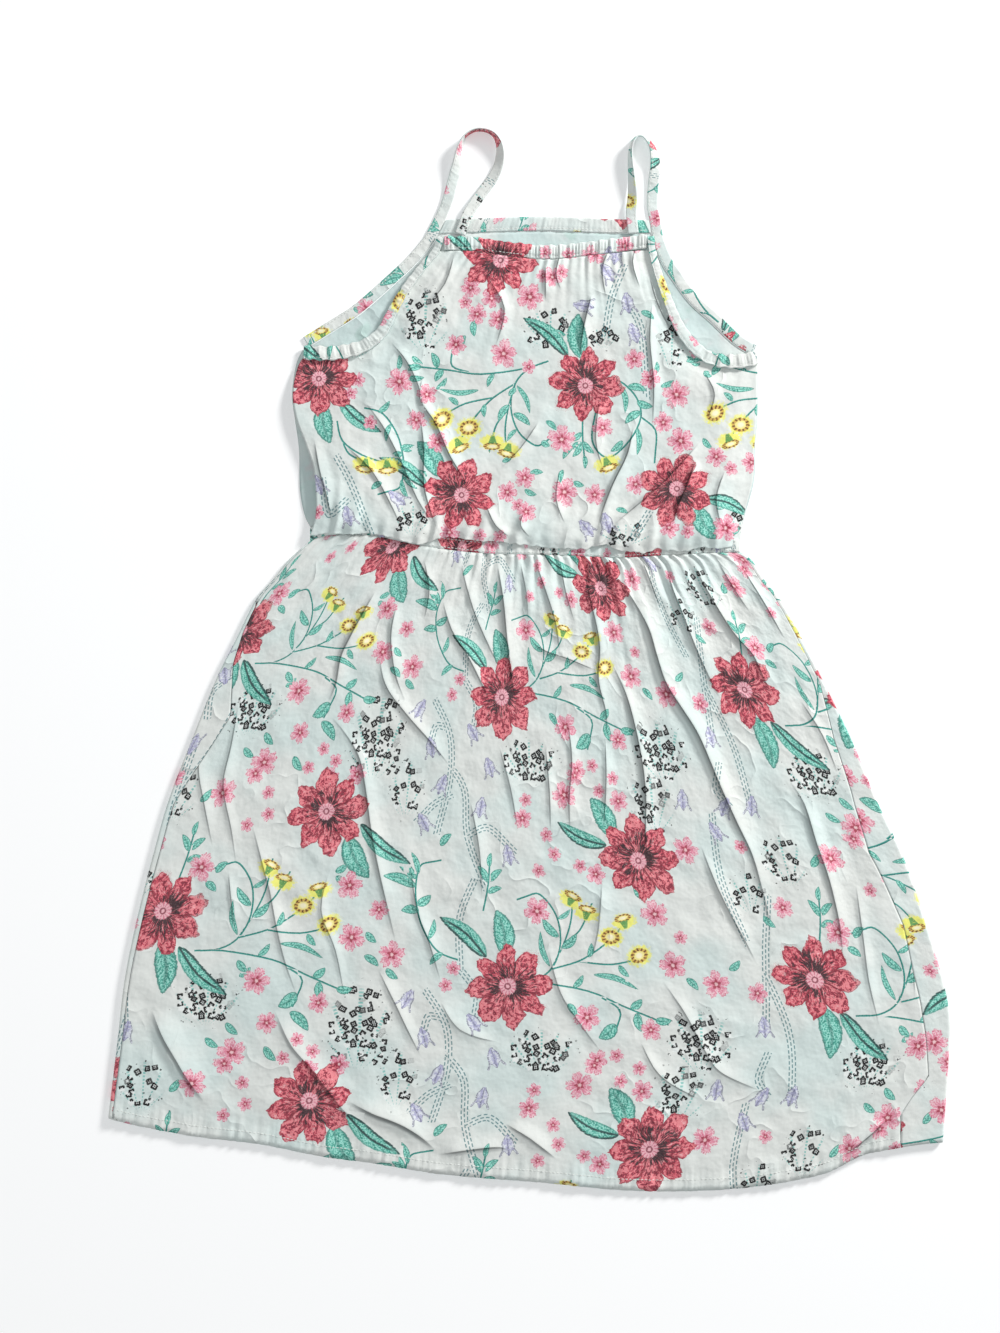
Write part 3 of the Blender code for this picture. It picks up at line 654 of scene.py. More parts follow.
class Value:
    """A value in a material's nodes, so that a pattern is written as sums on it."""

    def __init__(self, tree, socket=None):
        self.tree = tree
        self.socket = socket

    def node(self, kind, settings=None, inputs=None, output=0):
        made = self.tree.nodes.new(kind)
        for name, setting in (settings or {}).items():
            setattr(made, name, setting)
        for place, given in (inputs or {}).items():
            if isinstance(given, Value):
                self.tree.links.new(given.socket, made.inputs[place])
            else:
                made.inputs[place].default_value = given
        return Value(self.tree, made.outputs[output])

    def math(self, operation, *others):
        return self.node("ShaderNodeMath", {"operation": operation}, dict(enumerate((self, *others))))

    def __add__(self, other):
        return self.math("ADD", other)

    def __sub__(self, other):
        return self.math("SUBTRACT", other)

    def __mul__(self, other):
        return self.math("MULTIPLY", other)

    def __truediv__(self, other):
        return self.math("DIVIDE", other)

    def __pow__(self, other):
        return self.math("POWER", other)

    def __rsub__(self, other):
        return self.node("ShaderNodeMath", {"operation": "SUBTRACT"}, {0: other, 1: self})

    def __abs__(self):
        return self.math("ABSOLUTE")

    __radd__ = __add__
    __rmul__ = __mul__

    def rise(self, low, high):
        """0 up to low and 1 from high, or the other way round where high is less than low."""
        settings = {"interpolation_type": "SMOOTHSTEP"}
        if isinstance(low, Value) or isinstance(high, Value) or low < high:
            return self.node("ShaderNodeMapRange", settings, {0: self, 1: low, 2: high})
        return self.node("ShaderNodeMapRange", settings, {0: self, 1: high, 2: low, 3: 1.0, 4: 0.0})

    def near(self, middle, width):
        """1 at a value, and 0 from a width away."""
        return abs(self - middle).rise(width, width * 0.45)

    def kind_is(self, number):
        """1 where this is a kind's number, and 0 at the other kinds."""
        return self.rise(number - 0.5, number - 0.4) * self.rise(number + 0.5, number + 0.4)

    def over(self, under, share):
        """This colour laid over another by a share."""
        return self.node("ShaderNodeMix", {"data_type": "RGBA"}, {0: share, 6: under, 7: self}, 2)

    def shaded(self, share):
        """This colour, darkened by a share, as painted shade."""
        settings = {"data_type": "RGBA", "blend_type": "MULTIPLY"}
        return self.node("ShaderNodeMix", settings, {0: share, 6: self, 7: (0.2, 0.22, 0.23, 1)}, 2)

    def parts(self):
        return [self.node("ShaderNodeSeparateXYZ", None, {0: self}, k) for k in range(3)]

    def point(self, x, y, z=0.0):
        return self.node("ShaderNodeCombineXYZ", None, {0: x, 1: y, 2: z})

    def noise(self, scale, detail=2.0, rough=0.5):
        """Cloudy noise that reads this point."""
        inputs = {"Vector": self, "Scale": scale, "Detail": detail, "Roughness": rough}
        return self.node("ShaderNodeTexNoise", {"noise_dimensions": "3D"}, inputs, 0)

    def paint(self, red, green, blue):
        """A plain colour from its values on a screen."""
        screen = [c / 255 for c in (red, green, blue)]
        linear = [c / 12.92 if c <= 0.04045 else ((c + 0.055) / 1.055) ** 2.4 for c in screen]
        return self.node("ShaderNodeRGB", {}, {}).filled(linear)

    def painted(self, colour, share):
        """This colour with a plain one laid over it by a share."""
        return self.paint(*colour).over(self, share)

    def filled(self, linear):
        self.socket.default_value = (*linear, 1.0)
        return self

    def read(self, name):
        """The four parts of an attribute."""
        made = self.tree.nodes.new("ShaderNodeAttribute")
        made.attribute_name = name
        vector = Value(self.tree, made.outputs["Vector"])
        return *vector.parts(), Value(self.tree, made.outputs["Alpha"])


def far(x, y):
    return (x * x + y * y) ** 0.5


def petal_places(ink, x, y, count, seed, bend=0.0):
    """Distance from the middle, the petal's number, how far across it from -1 to 1, and its chance."""
    distance = far(x, y)
    phase = y.math("ARCTAN2", x) * (count / (2 * math.pi)) + seed + bend
    number = phase.math("FLOOR").math("FLOORED_MODULO", float(count))
    across = phase.math("FRACT") * 2 - 1
    flat = {"noise_dimensions": "2D"}
    chance = ink.node("ShaderNodeTexWhiteNoise", flat, {"Vector": ink.point(number, seed)})
    return distance, number, across, chance


def new_cloth(name, roughness, sheen):
    material = bpy.data.materials.new(name)
    material.use_nodes = True
    shader = material.node_tree.nodes["Principled BSDF"]
    shader.inputs["Roughness"].default_value = roughness
    shader.inputs["Specular IOR Level"].default_value = 0.25
    shader.inputs["Sheen Weight"].default_value = sheen
    shader.inputs["Sheen Roughness"].default_value = 0.5
    return material, Value(material.node_tree), shader


def place_on_cut(ink):
    """The place on the flat cut, in mm."""
    across, up = ink.node("ShaderNodeUVMap", {"uv_map": "cut"}).parts()[:2]
    return across * 1000, up * 1000


def cloudy_threads(ink, u, v, fine, long, detail, apart):
    """Two clouds of thin threads, one drawn out across and one drawn out along the cloth."""
    crossing = ink.point(u * long, v * fine).noise(1.0, detail)
    return crossing, ink.point(u * fine, v * long, apart).noise(1.0, detail)


THREAD_STEP = 0.42


def woven(ink, u, v):
    """The height of a plain weave with its slubs."""
    thread = 2 * math.pi / THREAD_STEP
    over_under = (u * thread).math("SINE") * (v * thread).math("SINE")
    weft, warp = cloudy_threads(ink, u, v, 4.0, 0.25, 2.0, 7.0)
    return over_under * 0.35 + (weft + warp)


def cover(ink, shader, colour, relief):
    """Gives a material its colour, and its relief in mm."""
    bump = ink.node("ShaderNodeBump", None, {"Strength": 1.0, "Distance": MM, "Height": relief})
    ink.tree.links.new(colour.socket, shader.inputs["Base Color"])
    ink.tree.links.new(bump.socket, shader.inputs["Normal"])


def finish_cloth(ink, shader, colour, u, v):
    """Gives the cloth its colour, darkened by painted shade along the foot of each sharp crease, and its
    relief in mm: weave, soft dents, crinkles and sharp creases.
    """
    across, high, wide, shade = ink.read("crease")
    gentle = 1 - across / wide
    steep = across / (wide * 0.2) + 1
    ridge = gentle.math("MINIMUM", steep).math("MAXIMUM", 0.0)
    dents = ink.point(u, v, 5.0).noise(0.045, 3.0, 0.5)
    crinkle = 1 - abs(ink.point(u, v, 15.0).noise(0.024, 2.0, 0.5) * 2 - 1)
    crinkle = (crinkle ** 14.0) * ink.point(u, v, 30.0).noise(0.013, 1.0).rise(0.46, 0.6)
    relief = woven(ink, u, v) * 0.04 + dents * 2.8 + crinkle * 0.75 + ridge * ridge * high * 1.3
    # Painted shade: the colour is darkened in a band along the steep foot of each crease, where the fold is
    # in shade
    painted_crease_shade = abs(across + 1.6).rise(3.0, 0.3) * shade * wide.rise(0.1, 0.5) * 0.5
    cover(ink, shader, colour.shaded(painted_crease_shade), relief)


printed_cloth, ink, shader = new_cloth("printed_cloth", 0.85, 0.05)
u, v = place_on_cut(ink)
on_cloth = ink.point(u, v)
grain = on_cloth.noise(0.8, 3.0, 0.6)
cloud = on_cloth.noise(0.016, 2.0)
colour = ink.paint(229, 232, 228).painted((217, 230, 227), cloud.rise(0.38, 0.66))

# Small black florets, whole ones only, each in its own cell of a cluster, on fine stitched stalks
FLORET_STEP = 5.7
x, y, wide, high = ink.read("cluster")
cell_inputs = {"Vector": ink.point(x, y), "Scale": 1 / FLORET_STEP, "Randomness": 1.0}
cell_places = ink.node("ShaderNodeTexVoronoi", {"voronoi_dimensions": "2D"}, cell_inputs, "Position")
cell_x, cell_y = cell_places.parts()[:2]
cell_colours = Value(ink.tree, cell_places.socket.node.outputs["Color"])
cell_chance, second_chance, third_chance = cell_colours.parts()
half_wide, half_high = wide.math("MAXIMUM", 0.1), high.math("MAXIMUM", 0.1)
across_x, across_y = x / half_wide, y / half_high
outward = across_x * across_x + across_y * across_y
cell_at_x, cell_at_y = cell_x / half_wide, cell_y / half_high
clump = ink.point(cell_x, cell_y, wide).noise(0.085, 1.0).rise(0.42, 0.47)
in_cluster = (cell_at_x * cell_at_x + cell_at_y * cell_at_y + cell_chance * 0.5).rise(1.1, 1.08) * clump
stalk_x, stalk_y = x, y + high * 1.1
stalk = (stalk_y.math("ARCTAN2", stalk_x) * 17 + grain).math("SINE").rise(0.8, 0.96)
stalk = stalk * (far(stalk_x, stalk_y) / 2.6).math("FRACT").rise(0.62, 0.56)
stalk = stalk * outward.rise(1.0, 0.6) * wide.rise(0.1, 0.2)
colour = colour.painted((112, 190, 182), stalk * 0.8)
distance, number, across, chance = petal_places(ink, x - cell_x, y - cell_y, 4, cell_chance * 9)
floret = 2.35 + second_chance * 0.5 - abs(across) * 0.95
colour = colour.painted((238, 242, 240), (floret - distance).rise(-0.1, 0.1) * in_cluster)
whole = (chance * 0.8 + third_chance * 0.5).rise(0.34, 0.42)
ring = (floret - 0.45 - distance).near(0.0, 1.25) * whole
dot = distance.rise(0.75, 0.35) * third_chance.rise(0.3, 0.4)
colour = colour.painted((8, 8, 12), ring.math("MAXIMUM", dot) * grain.rise(0.3, 0.36) * in_cluster)
seeds = ink.point(x, y, high).noise(0.34, 1.0).rise(0.7, 0.73) * outward.rise(1.5, 1.0)
colour = colour.painted((24, 26, 30), seeds * wide.rise(0.1, 0.2) * 0.9)

# Stems: solid ones in sea green, and stitched ones as three rows of fine dashes
LANE = 2.3
across, along, half, kind = ink.read("stem")
on_stem = along.rise(-0.1, 0.1)
solid = kind.kind_is(SOLID_STEM) * on_stem
line = (half - abs(across) + (grain - 0.5) * 0.5).rise(-0.12, 0.12)
colour = colour.painted((62, 158, 146), line * solid)
stem_edge = (across - half * 0.5).near(0.0, 0.5) * solid * grain.rise(0.4, 0.55)
colour = colour.painted((26, 92, 92), stem_edge * 0.75)
lane = (across / LANE).math("ROUND")
dash = (along / 4.2 + lane * 0.37 + grain * 0.2).math("FRACT").rise(0.7, 0.62) * abs(across).rise(3.2, 3.0)
dash = dash * abs(across - lane * LANE + (grain - 0.5) * 0.5).rise(0.62, 0.3)
colour = colour.painted((78, 128, 134), dash * kind.rise(1.5, 1.6) * on_stem * 0.85)

# Leaves: speckled like satin stitch, some with a dark rib and a dark upper edge
across, along, seed, kind = ink.read("leaf")
tip = along.math("MAXIMUM", 0.0).math("MINIMUM", 1.0) ** 0.82
half = (tip * (1 - tip) * 4).math("MAXIMUM", 0.0) ** 0.8
stitch = ink.point(along * 16 + abs(across) * -5, across * 2.2, seed).noise(1.0, 2.0, 0.6)
blade = (half - abs(across) + (stitch - 0.5) * 0.35 + (grain - 0.5) * 0.15).rise(-0.03, 0.05)
blade = blade * kind.rise(0.5, 0.6) * along.rise(-0.01, 0.01) * along.rise(1.01, 0.99)
green = ink.paint(80, 184, 164).painted((164, 230, 216), (stitch * 0.5 + grain * 0.9).rise(0.66, 0.76))
green = green.painted((34, 134, 120), (stitch * 0.5 + grain * 0.8).rise(0.61, 0.55) * 0.9)
ribbed = kind.kind_is(RIB_LEAF)
rib = abs(across + (grain - 0.5) * 0.3).rise(0.2, 0.06) * along.rise(1.0, 0.75)
edge = (across - half + 0.36).rise(0.0, 0.16)
green = green.painted((16, 40, 46), rib.math("MAXIMUM", edge * stitch.rise(0.36, 0.46)) * ribbed * 0.95)
outline = abs(abs(across) - half).rise(0.3, 0.08)
outline = (rib * 0.6).math("MAXIMUM", outline * grain.rise(0.4, 0.5)) * (1 - ribbed * 0.4)
green = green.painted((22, 96, 90), outline * 0.8)
colour = green.over(colour, blade * 0.96)

# Pink flowers: five notched petals, hatched towards a dark star
x, y, seed, kind = ink.read("posy")
distance, number, across, chance = petal_places(ink, x, y, 5, seed)
is_pink = kind.kind_is(PINK)
vein = ink.point(across * 2.2 + number * 9, distance * 0.2, seed).noise(1.5, 2.0, 0.6)
outline = 9.9 + chance * 1.6 - (abs(across) ** 2.2) * 4.4 - abs(across).rise(0.22, 0.0)
outline = outline + (vein - 0.5) * 5.5
petal = (outline - distance + (grain - 0.5) * 2.6).rise(-0.35, 0.35) * is_pink
speckle = grain * 0.9 + vein * 0.6
hatch = ink.point(across * 3.2 + number * 11, distance * 0.1, seed + 5).noise(1.6, 2.0, 0.6)
pink = ink.paint(247, 204, 213).painted((230, 134, 160), (speckle + (7 - distance) * 0.03).rise(0.7, 0.8))
pink = pink.painted((214, 88, 124), hatch.rise(0.53, 0.6) * distance.rise(9.0, 4.0) * 0.8)
pink = pink.painted((212, 98, 130), (outline - distance).rise(1.7, 0.7) * grain.rise(0.44, 0.54) * 0.85)
pink = pink.painted((250, 230, 234), abs(across).rise(0.84, 0.97) * distance.rise(3.0, 5.0) * 0.75)
star = (4.3 - abs(across) * 2.6 - distance + (grain - 0.5) * 3.4).rise(-0.3, 0.3)
pink = pink.painted((168, 22, 62), star * 0.95)
pink = pink.painted((250, 206, 210), (distance + (vein - 0.5) * 3).rise(1.5, 1.0) * 0.9)
colour = pink.over(colour, petal * 0.93)

# Yellow buttons, seen from above or from the side: a soft halo and a beaded ring
side_on = kind.kind_is(SIDE_BUTTON)
button = kind.kind_is(BUTTON) + side_on
halo_x, halo_y = x / 10.4, (y + side_on * 1.5) / (8.2 - side_on * 1.4)
fuzz = ink.point(u, v, 9.0).noise(0.45, 2.0, 0.6)
halo = (far(halo_x, halo_y) + (fuzz - 0.5) * 1.1).rise(1.06, 0.72) * button
colour = colour.painted((246, 243, 112), halo * 0.92)
disc_x, disc_y = x / 6.4, (y - side_on * 1.6) / (4.9 - side_on * 2.3)
disc = far(disc_x, disc_y)
bead = (disc_y.math("ARCTAN2", disc_x) * 11).math("SINE")
ring = (disc + (fuzz - 0.5) * 0.4).near(0.88, 0.3) * button
colour = colour.painted((250, 238, 150), disc.rise(1.0, 0.9) * button)
colour = colour.painted((254, 246, 214), disc.rise(0.55, 0.25) * button * 0.9)
colour = colour.painted((204, 148, 56), ring * 0.7)
colour = colour.painted((104, 58, 36), ring * (bead * 0.2 + grain * 1.3).rise(0.62, 0.76) * 0.95)
calyx = (3.6 + y * 0.35 - abs(x)).rise(-0.2, 0.3) * y.rise(-0.2, -0.8) * y.rise(-7.0, -6.0) * side_on
colour = colour.painted((72, 150, 88), calyx * grain.rise(0.3, 0.45) * 0.9)

# Lilac bells, striped and drawn round with a dark line
is_bell = kind.rise(3.5, 3.6)
down = 8.5 - y
flare = 1.5 + down.rise(0.0, 6.5) * 3.2 + down.rise(10.0, 16.5) * 2.9
lip = 14.4 + (x * 0.98).math("COSINE") * 1.9
bell = (flare - abs(x)).rise(-0.15, 0.25) * (lip - down).rise(-0.15, 0.25) * down.rise(-0.3, 0.4) * is_bell
stripe = (x / flare * 7.4 + (fuzz - 0.5) * 3).math("COSINE").rise(0.45, 0.95)
lilac = ink.paint(226, 229, 238).painted((176, 174, 210), (fuzz + (3 - abs(x)) * 0.05).rise(0.46, 0.64))
bell_edge = (flare - abs(x)).rise(1.0, 0.3).math("MAXIMUM", (lip - down).rise(0.9, 0.3))
stripe = (stripe * 0.75).math("MAXIMUM", bell_edge) * grain.rise(0.4, 0.5)
lilac = lilac.painted((70, 70, 100), stripe * 0.85)
colour = lilac.over(colour, bell * 0.9)

# Large red flowers: eight pointed petals, streaked with dark stitches from the middle
x, y, seed, kind = ink.read("bloom")
wander = (on_cloth.noise(0.09, 1.0) - 0.5) * 0.5
distance, number, across, chance = petal_places(ink, x, y, 8, seed, wander)
streak = ink.point(across * 2.6 + number * 13, distance * 0.07, seed).noise(1.6, 3.0, 0.65)
fine = ink.point(across * 3.0 + number * 17, distance * 0.22, seed + 4).noise(1.3, 2.0, 0.65)
ragged = ink.point(across * 1.7 + number * 7, distance * 0.04, seed + 9).noise(1.4, 2.0, 0.6)
patchy = ink.point(x, y, seed).noise(0.075, 1.0)
reach = 31.0 + chance * 4.0 - abs(across) * 8.0 - (abs(across) ** 4.0) * 4.0 + (ragged - 0.5) * 7.0
speck = (grain - 0.5) * 2.6
petal = (reach - distance + speck).rise(-0.25, 0.25) * kind.rise(0.5, 0.6)
stitches = fine * 0.75 + grain * 0.5
light = ink.paint(214, 72, 94).painted((240, 138, 146), (stitches + chance * 0.06).rise(0.62, 0.7))
red = light.painted((126, 24, 50), stitches.rise(0.6, 0.55) * 0.9)
side_line = abs(across).rise(0.78, 0.95) * distance.rise(6.0, 9.0)
red = red.painted((140, 16, 46), side_line * stitches.rise(0.5, 0.6) * 0.9)
red = red.painted((160, 22, 54), (reach - distance).rise(2.4, 0.8) * grain.rise(0.42, 0.52) * 0.85)
second = (ragged * 26 + 7.0 - abs(across) * 5 - distance).near(0.0, 1.3)
red = red.painted((116, 14, 42), second * grain.rise(0.4, 0.5) * 0.85)
dark_streak = (streak - 0.5) * 1.7 + (grain - 0.5) * 0.6 + (12.5 - distance) * 0.03 + (patchy - 0.5) * 0.9
red = red.painted((40, 12, 26), dark_streak.rise(0.0, 0.1) * distance.rise(28.0, 18.0) * 0.95)
glint = (fine + grain * 0.5).rise(0.9, 0.98) * distance.rise(8.0, 12.0)
red = red.painted((250, 196, 198), glint * 0.7)
centre_x, centre_y = x + 1.2, y - 0.8
from_heart = far(centre_x, centre_y)
middle = (6.4 + speck * 1.3 + (streak - 0.5) * 4 - from_heart).rise(-0.3, 0.3)
spoke = (centre_y.math("ARCTAN2", centre_x) * 13 + fuzz * 6).math("SINE").rise(0.0, 0.7)
spoke = spoke * from_heart.rise(2.6, 3.8)
heart = ink.paint(244, 184, 194).painted((206, 92, 120), spoke * grain.rise(0.4, 0.5) * 0.85)
heart = heart.painted((132, 26, 56), (from_heart + (grain - 0.5) * 2).near(2.0, 0.9) * 0.85)
red = heart.over(red, middle)
colour = red.over(colour, petal * 0.97)

# Faint threads through the print, as on washed cloth
weft, warp = cloudy_threads(ink, u, v, 7.0, 0.6, 1.0, 3.0)
colour = colour.painted((244, 245, 240), (weft * 0.5 + warp * 0.5).rise(0.5, 0.72) * 0.2)
finish_cloth(ink, shader, colour, u, v)

# The plain inside, where the print shows through only as faint clouds
plain_inside, ink, shader = new_cloth("plain_inside", 0.88, 0.05)
u, v = place_on_cut(ink)
ghost = ink.point(u, v).noise(0.045, 2.0, 0.6)
other_ghost = ink.point(u, v, 40.0).noise(0.05, 2.0, 0.6)
cloud = ink.point(u, v).noise(0.012, 2.0)
colour = ink.paint(226, 232, 229).painted((205, 222, 220), cloud.rise(0.4, 0.6))
colour = colour.painted((228, 196, 202), ghost.rise(0.56, 0.68) * 0.35)
colour = colour.painted((170, 206, 194), other_ghost.rise(0.57, 0.7) * 0.35)
finish_cloth(ink, shader, colour, u, v)


skirt_back = cloth_piece(
    "skirt_back_panel", "skirt_back", 220, 150, skirt_back_face, (150, -250), turned=True
)

# ---------------------------------------------------------------------------------------------------------
# Front of the skirt: the same cloth, cut wider than the waist and gathered into the elastic casing. It lies
# between the side seams, in long soft folds that fan out from the gathers.
SIDE_GAP = 0.3
SIDE_EASE = 16
WAIST_GATHERS = 44
GATHER_HEIGHT = 1.15
GATHER_REACH = 0.07
HEM_PUCKER = 0.46
LEAST_TOP = 2.7
MOST_THICKENING = 2.2
SKIRT_COLUMNS = 392
SKIRT_ROWS = 120
# Each fold: height, width of its gentle side, depth of the shade painted at its foot, points of its crest.
# It is steep on the right of its line
SKIRT_FOLDS = [
    (1.6, 9, 0.8, [(-114, 55), (-127, 32), (-136, 15), (-142, 2), (-146, -19), (-153, -35)]),
    (1.6, 9, 0.8, [(-152, -40), (-139, -55), (-128, -74), (-123, -99), (-119, -129),
      (-113, -160), (-107, -186), (-99, -220)]),
    (1.4, 8, 0.7, [(-113, 4), (-108, -19), (-93, -40), (-72, -64), (-58, -82)]),
    (1.5, 8, 0.6, [(-65, 46), (-58, 23), (-44, 0), (-28, -33)]),
    (1.8, 9, 0.9, [(-24, 76), (-19, 46), (-16, 15), (-13, -9), (-10, -30)]),
    (1.2, 7, 0.5, [(-51, 74), (-46, 53), (-38, 29), (-22, -6)]),
    (1.4, 8, 0.6, [(5, 76), (13, 53), (21, 27), (24, 4)]),
    (1.6, 7, 0.9, [(42, 67), (48, 42), (54, 11), (53, -15), (59, -40), (59, -59)]),
    (1.9, 8, 1, [(62, 0), (73, -23), (80, -47), (86, -76), (89, -103), (89, -133), (91, -154)]),
    (2.2, 10, 1, [(57, 85), (65, 65), (79, 46), (91, 24), (97, 4), (104, -17), (114, -33), (128, -55),
      (139, -80), (147, -99), (158, -123), (169, -146), (176, -169), (182, -194), (184, -224)]),
    (1.6, 9, 0.7, [(103, 78), (109, 55), (118, 32), (127, 9), (139, -17), (147, -32)]),
    (1.8, 9, 0.8, [(124, 76), (135, 53), (155, 21), (170, 4), (180, -17), (188, -30)]),
    (1.7, 9, 0.9, [(197, -90), (209, -109), (218, -138), (228, -167), (236, -201), (239, -230)]),
    (1.2, 8, 0.5, [(130, -138), (141, -167), (153, -192), (165, -214), (174, -232)]),
    (1.2, 7, 0.5, [(30, -46), (33, -76), (31, -106), (32, -133)]),
    (1, 6, 0.4, [(13, -65), (16, -99), (17, -131)]),
    (1, 6, 0.5, [(58, -57), (59, -91), (57, -131)]),
    (0.9, 5, 0.8, [(1, 15), (13, 7), (28, 2), (52, -8)]),
    (2.4, 17, 0.8, [(-286, -264), (-277, -285), (-266, -304), (-256, -321), (-244, -337)]),
    (2.2, 13, 1.3, [(-137, -334), (-119, -343), (-98, -351), (-82, -361), (-69, -373)]),
    (1.4, 9, 0.9, [(-69, -375), (-46, -371), (-22, -369), (-13, -373)]),
    (1.8, 11, 0.7, [(-18, -351), (1, -362), (21, -378)]),
    (1, 8, 0.5, [(-210, -122), (-202, -152), (-196, -175), (-191, -201), (-184, -230), (-174, -258)]),
    (0.9, 6, 0.5, [(-227, -161), (-225, -182), (-222, -205)]),
    (1.2, 7, 0.5, [(-89, -158), (-84, -190), (-75, -214), (-66, -245)]),
    (1.2, 8, 0.5, [(-114, -234), (-102, -258), (-91, -281), (-81, -301)]),
    (1.5, 14, 0.7, [(-193, -264), (-181, -290), (-166, -308), (-151, -327), (-137, -344), (-119, -351)]),
    (0.9, 8, 0.3, [(-67, -258), (-52, -280), (-22, -290)]),
    (1, 8, 0.4, [(15, -219), (24, -251), (39, -275), (56, -298)]),
    (0.9, 8, 0.4, [(56, -167), (53, -205), (47, -230)]),
    (1.2, 9, 0.4, [(101, -242), (119, -268), (135, -298), (147, -313), (180, -328)]),
    (1.3, 7, 0.6, [(-99, 44), (-104, 19), (-101, -9), (-94, -30)]),
    (1, 7, 0.4, [(-219, -30), (-225, -65), (-231, -95), (-225, -129), (-221, -158)]),
    (1, 7, 0.4, [(-246, -46), (-250, -80), (-246, -106), (-239, -144)]),
    (1.2, 7, 0.5, [(162, 70), (177, 46), (195, 15)]),
    (1.1, 7, 0.5, [(144, 74), (155, 55), (168, 36)]),
    (1.1, 7, 0.4, [(85, -289), (100, -315), (130, -333)]),
    (0.9, 7, 0.4, [(248, -167), (253, -205), (258, -243), (267, -281)]),
    (1.4, 8, 0.7, [(241, -374), (256, -362), (273, -347)]),
    (1, 7, 0.4, [(-44, -106), (-37, -144), (-35, -182)]),
    (0.9, 6, 0.4, [(-151, -160), (-157, -190), (-146, -220), (-139, -258)]),
    (1, 6, 0.5, [(-79, 76), (-75, 53), (-79, 30)]),
    (1, 6, 0.5, [(-6, 74), (-2, 53), (0, 30)]),
    (1, 6, 0.5, [(24, 76), (28, 53), (35, 29)]),
    (1, 6, 0.5, [(85, 79), (92, 61), (101, 38)]),
    (0.9, 7, 0.4, [(286, -186), (291, -220), (293, -258)]),
    (0.9, 7, 0.4, [(-22, -65), (-13, -99), (-8, -129)]),
    (0.9, 7, 0.4, [(206, -30), (223, -57), (235, -87)]),
]
GATHER_DEPTH = [(0.0, 0.2), (0.3, 0.25), (0.37, 0.9), (0.7, 1.0), (0.85, 0.7), (1.0, 0.5)]
SKIRT_RISE = [(0.0, 5.2), (0.05, 5.4), (0.15, 4.8), (0.4, 3.9), (1.0, 3.3)]
# How wide a fold's steep side is beside its gentle one, and how much larger than the table all folds are made
STEEP_SHARE = 0.42
FOLD_HEIGHT = 1.35
FOLD_WIDTH = 1.45


def ready(folds):
    """The folds at their full size, each with a smooth crest."""
    return [
        (height * FOLD_HEIGHT, gentle * FOLD_WIDTH * STEEP_SHARE, gentle * FOLD_WIDTH, rounded(points, 4))
        for height, gentle, _, points in folds
    ]


def fold_height(x, y, folds):
    """The height that the folds add at each point: they rise steeply on one side and gently on the other."""
    total = np.zeros_like(x)
    for height, steep, gentle, line in folds:
        reach = max(steep, gentle)
        near = (x > line[:, 0].min() - reach) & (x < line[:, 0].max() + reach)
        near &= (y > line[:, 1].min() - reach) & (y < line[:, 1].max() + reach)
        across, _, length, off, foot = along_line(x[near], y[near], line)
        width = np.where(across < 0, steep, gentle)
        fade = smooth(foot / length / 0.35 + 0.1) * smooth((1 - foot / length) / 0.45)
        total[near] += height * fade * (0.5 + 0.5 * np.cos(math.pi * np.minimum(off / width, 1)))
    return total


def thickness(x, y, folds, share):
    """The cloth's thickness measured straight down, which is more on the steep side of a fold."""
    here = fold_height(x, y, folds)
    slope = np.hypot(fold_height(x + 1, y, folds) - here, fold_height(x, y + 1, folds) - here)
    return CLOTH * np.minimum(np.hypot(1, share * slope), MOST_THICKENING)


def shares(count, seed, shift=0.25):
    """Shares from 0 to 1 at uneven steps."""
    inner = [(i + shift * uneven(i, seed)) / count for i in range(1, count)]
    return np.array([0.0, *inner, 1.0])


def between(places, values, place):
    """Values at uneven places, with rounded tops between them."""
    k = np.clip(np.searchsorted(places, place, side="right") - 1, 0, len(places) - 2)
    share = (place - places[k]) / (places[k + 1] - places[k])
    return blend(values[k], values[k + 1], smooth(share))


def ripple(places, size, spread, seed):
    """Pleats that rise and fall in turn along a seam, each by its own size."""
    index = np.arange(len(places))
    sizes = np.where(index % 2, 1, -1) * (size + spread * uneven(index, seed))
    return lambda place: between(places, sizes, place)


def gathers(places, seed, height, place, away, reach):
    """Small pleats that fade away from their seam, each of its own height and length."""
    pair = np.arange(len(places)) // 2
    length = between(places, reach * (1 + 0.6 * uneven(pair, seed + 1)), place)
    return ripple(places, height, 0.8 * height, seed)(place) * np.exp(-away / length)


def wavering(s, pace, slow, sway=2, start=0):
    """A fine wave along a seam, whose pace wavers."""
    return np.sin(s * pace + sway * np.sin(s * slow + start))


def softness(x, y, size, seed):
    """Gentle unevenness of cloth that has been worn and washed, from -1 to 1."""
    total = 0
    for k in range(5):
        angle = 1.9 * k + seed
        along = (x * math.cos(angle) + y * math.sin(angle)) / (size * (0.6 + 0.23 * k))
        across = (y * math.cos(angle) - x * math.sin(angle)) / (size * (1.3 + 0.31 * k))
        total = total + np.sin(2 * math.pi * along + 2 * np.sin(2 * math.pi * across + k * seed))
    return total / 5


skirt_folds = ready(SKIRT_FOLDS)
skirt_gathers = shares(2 * WAIST_GATHERS, 1, 0.42)


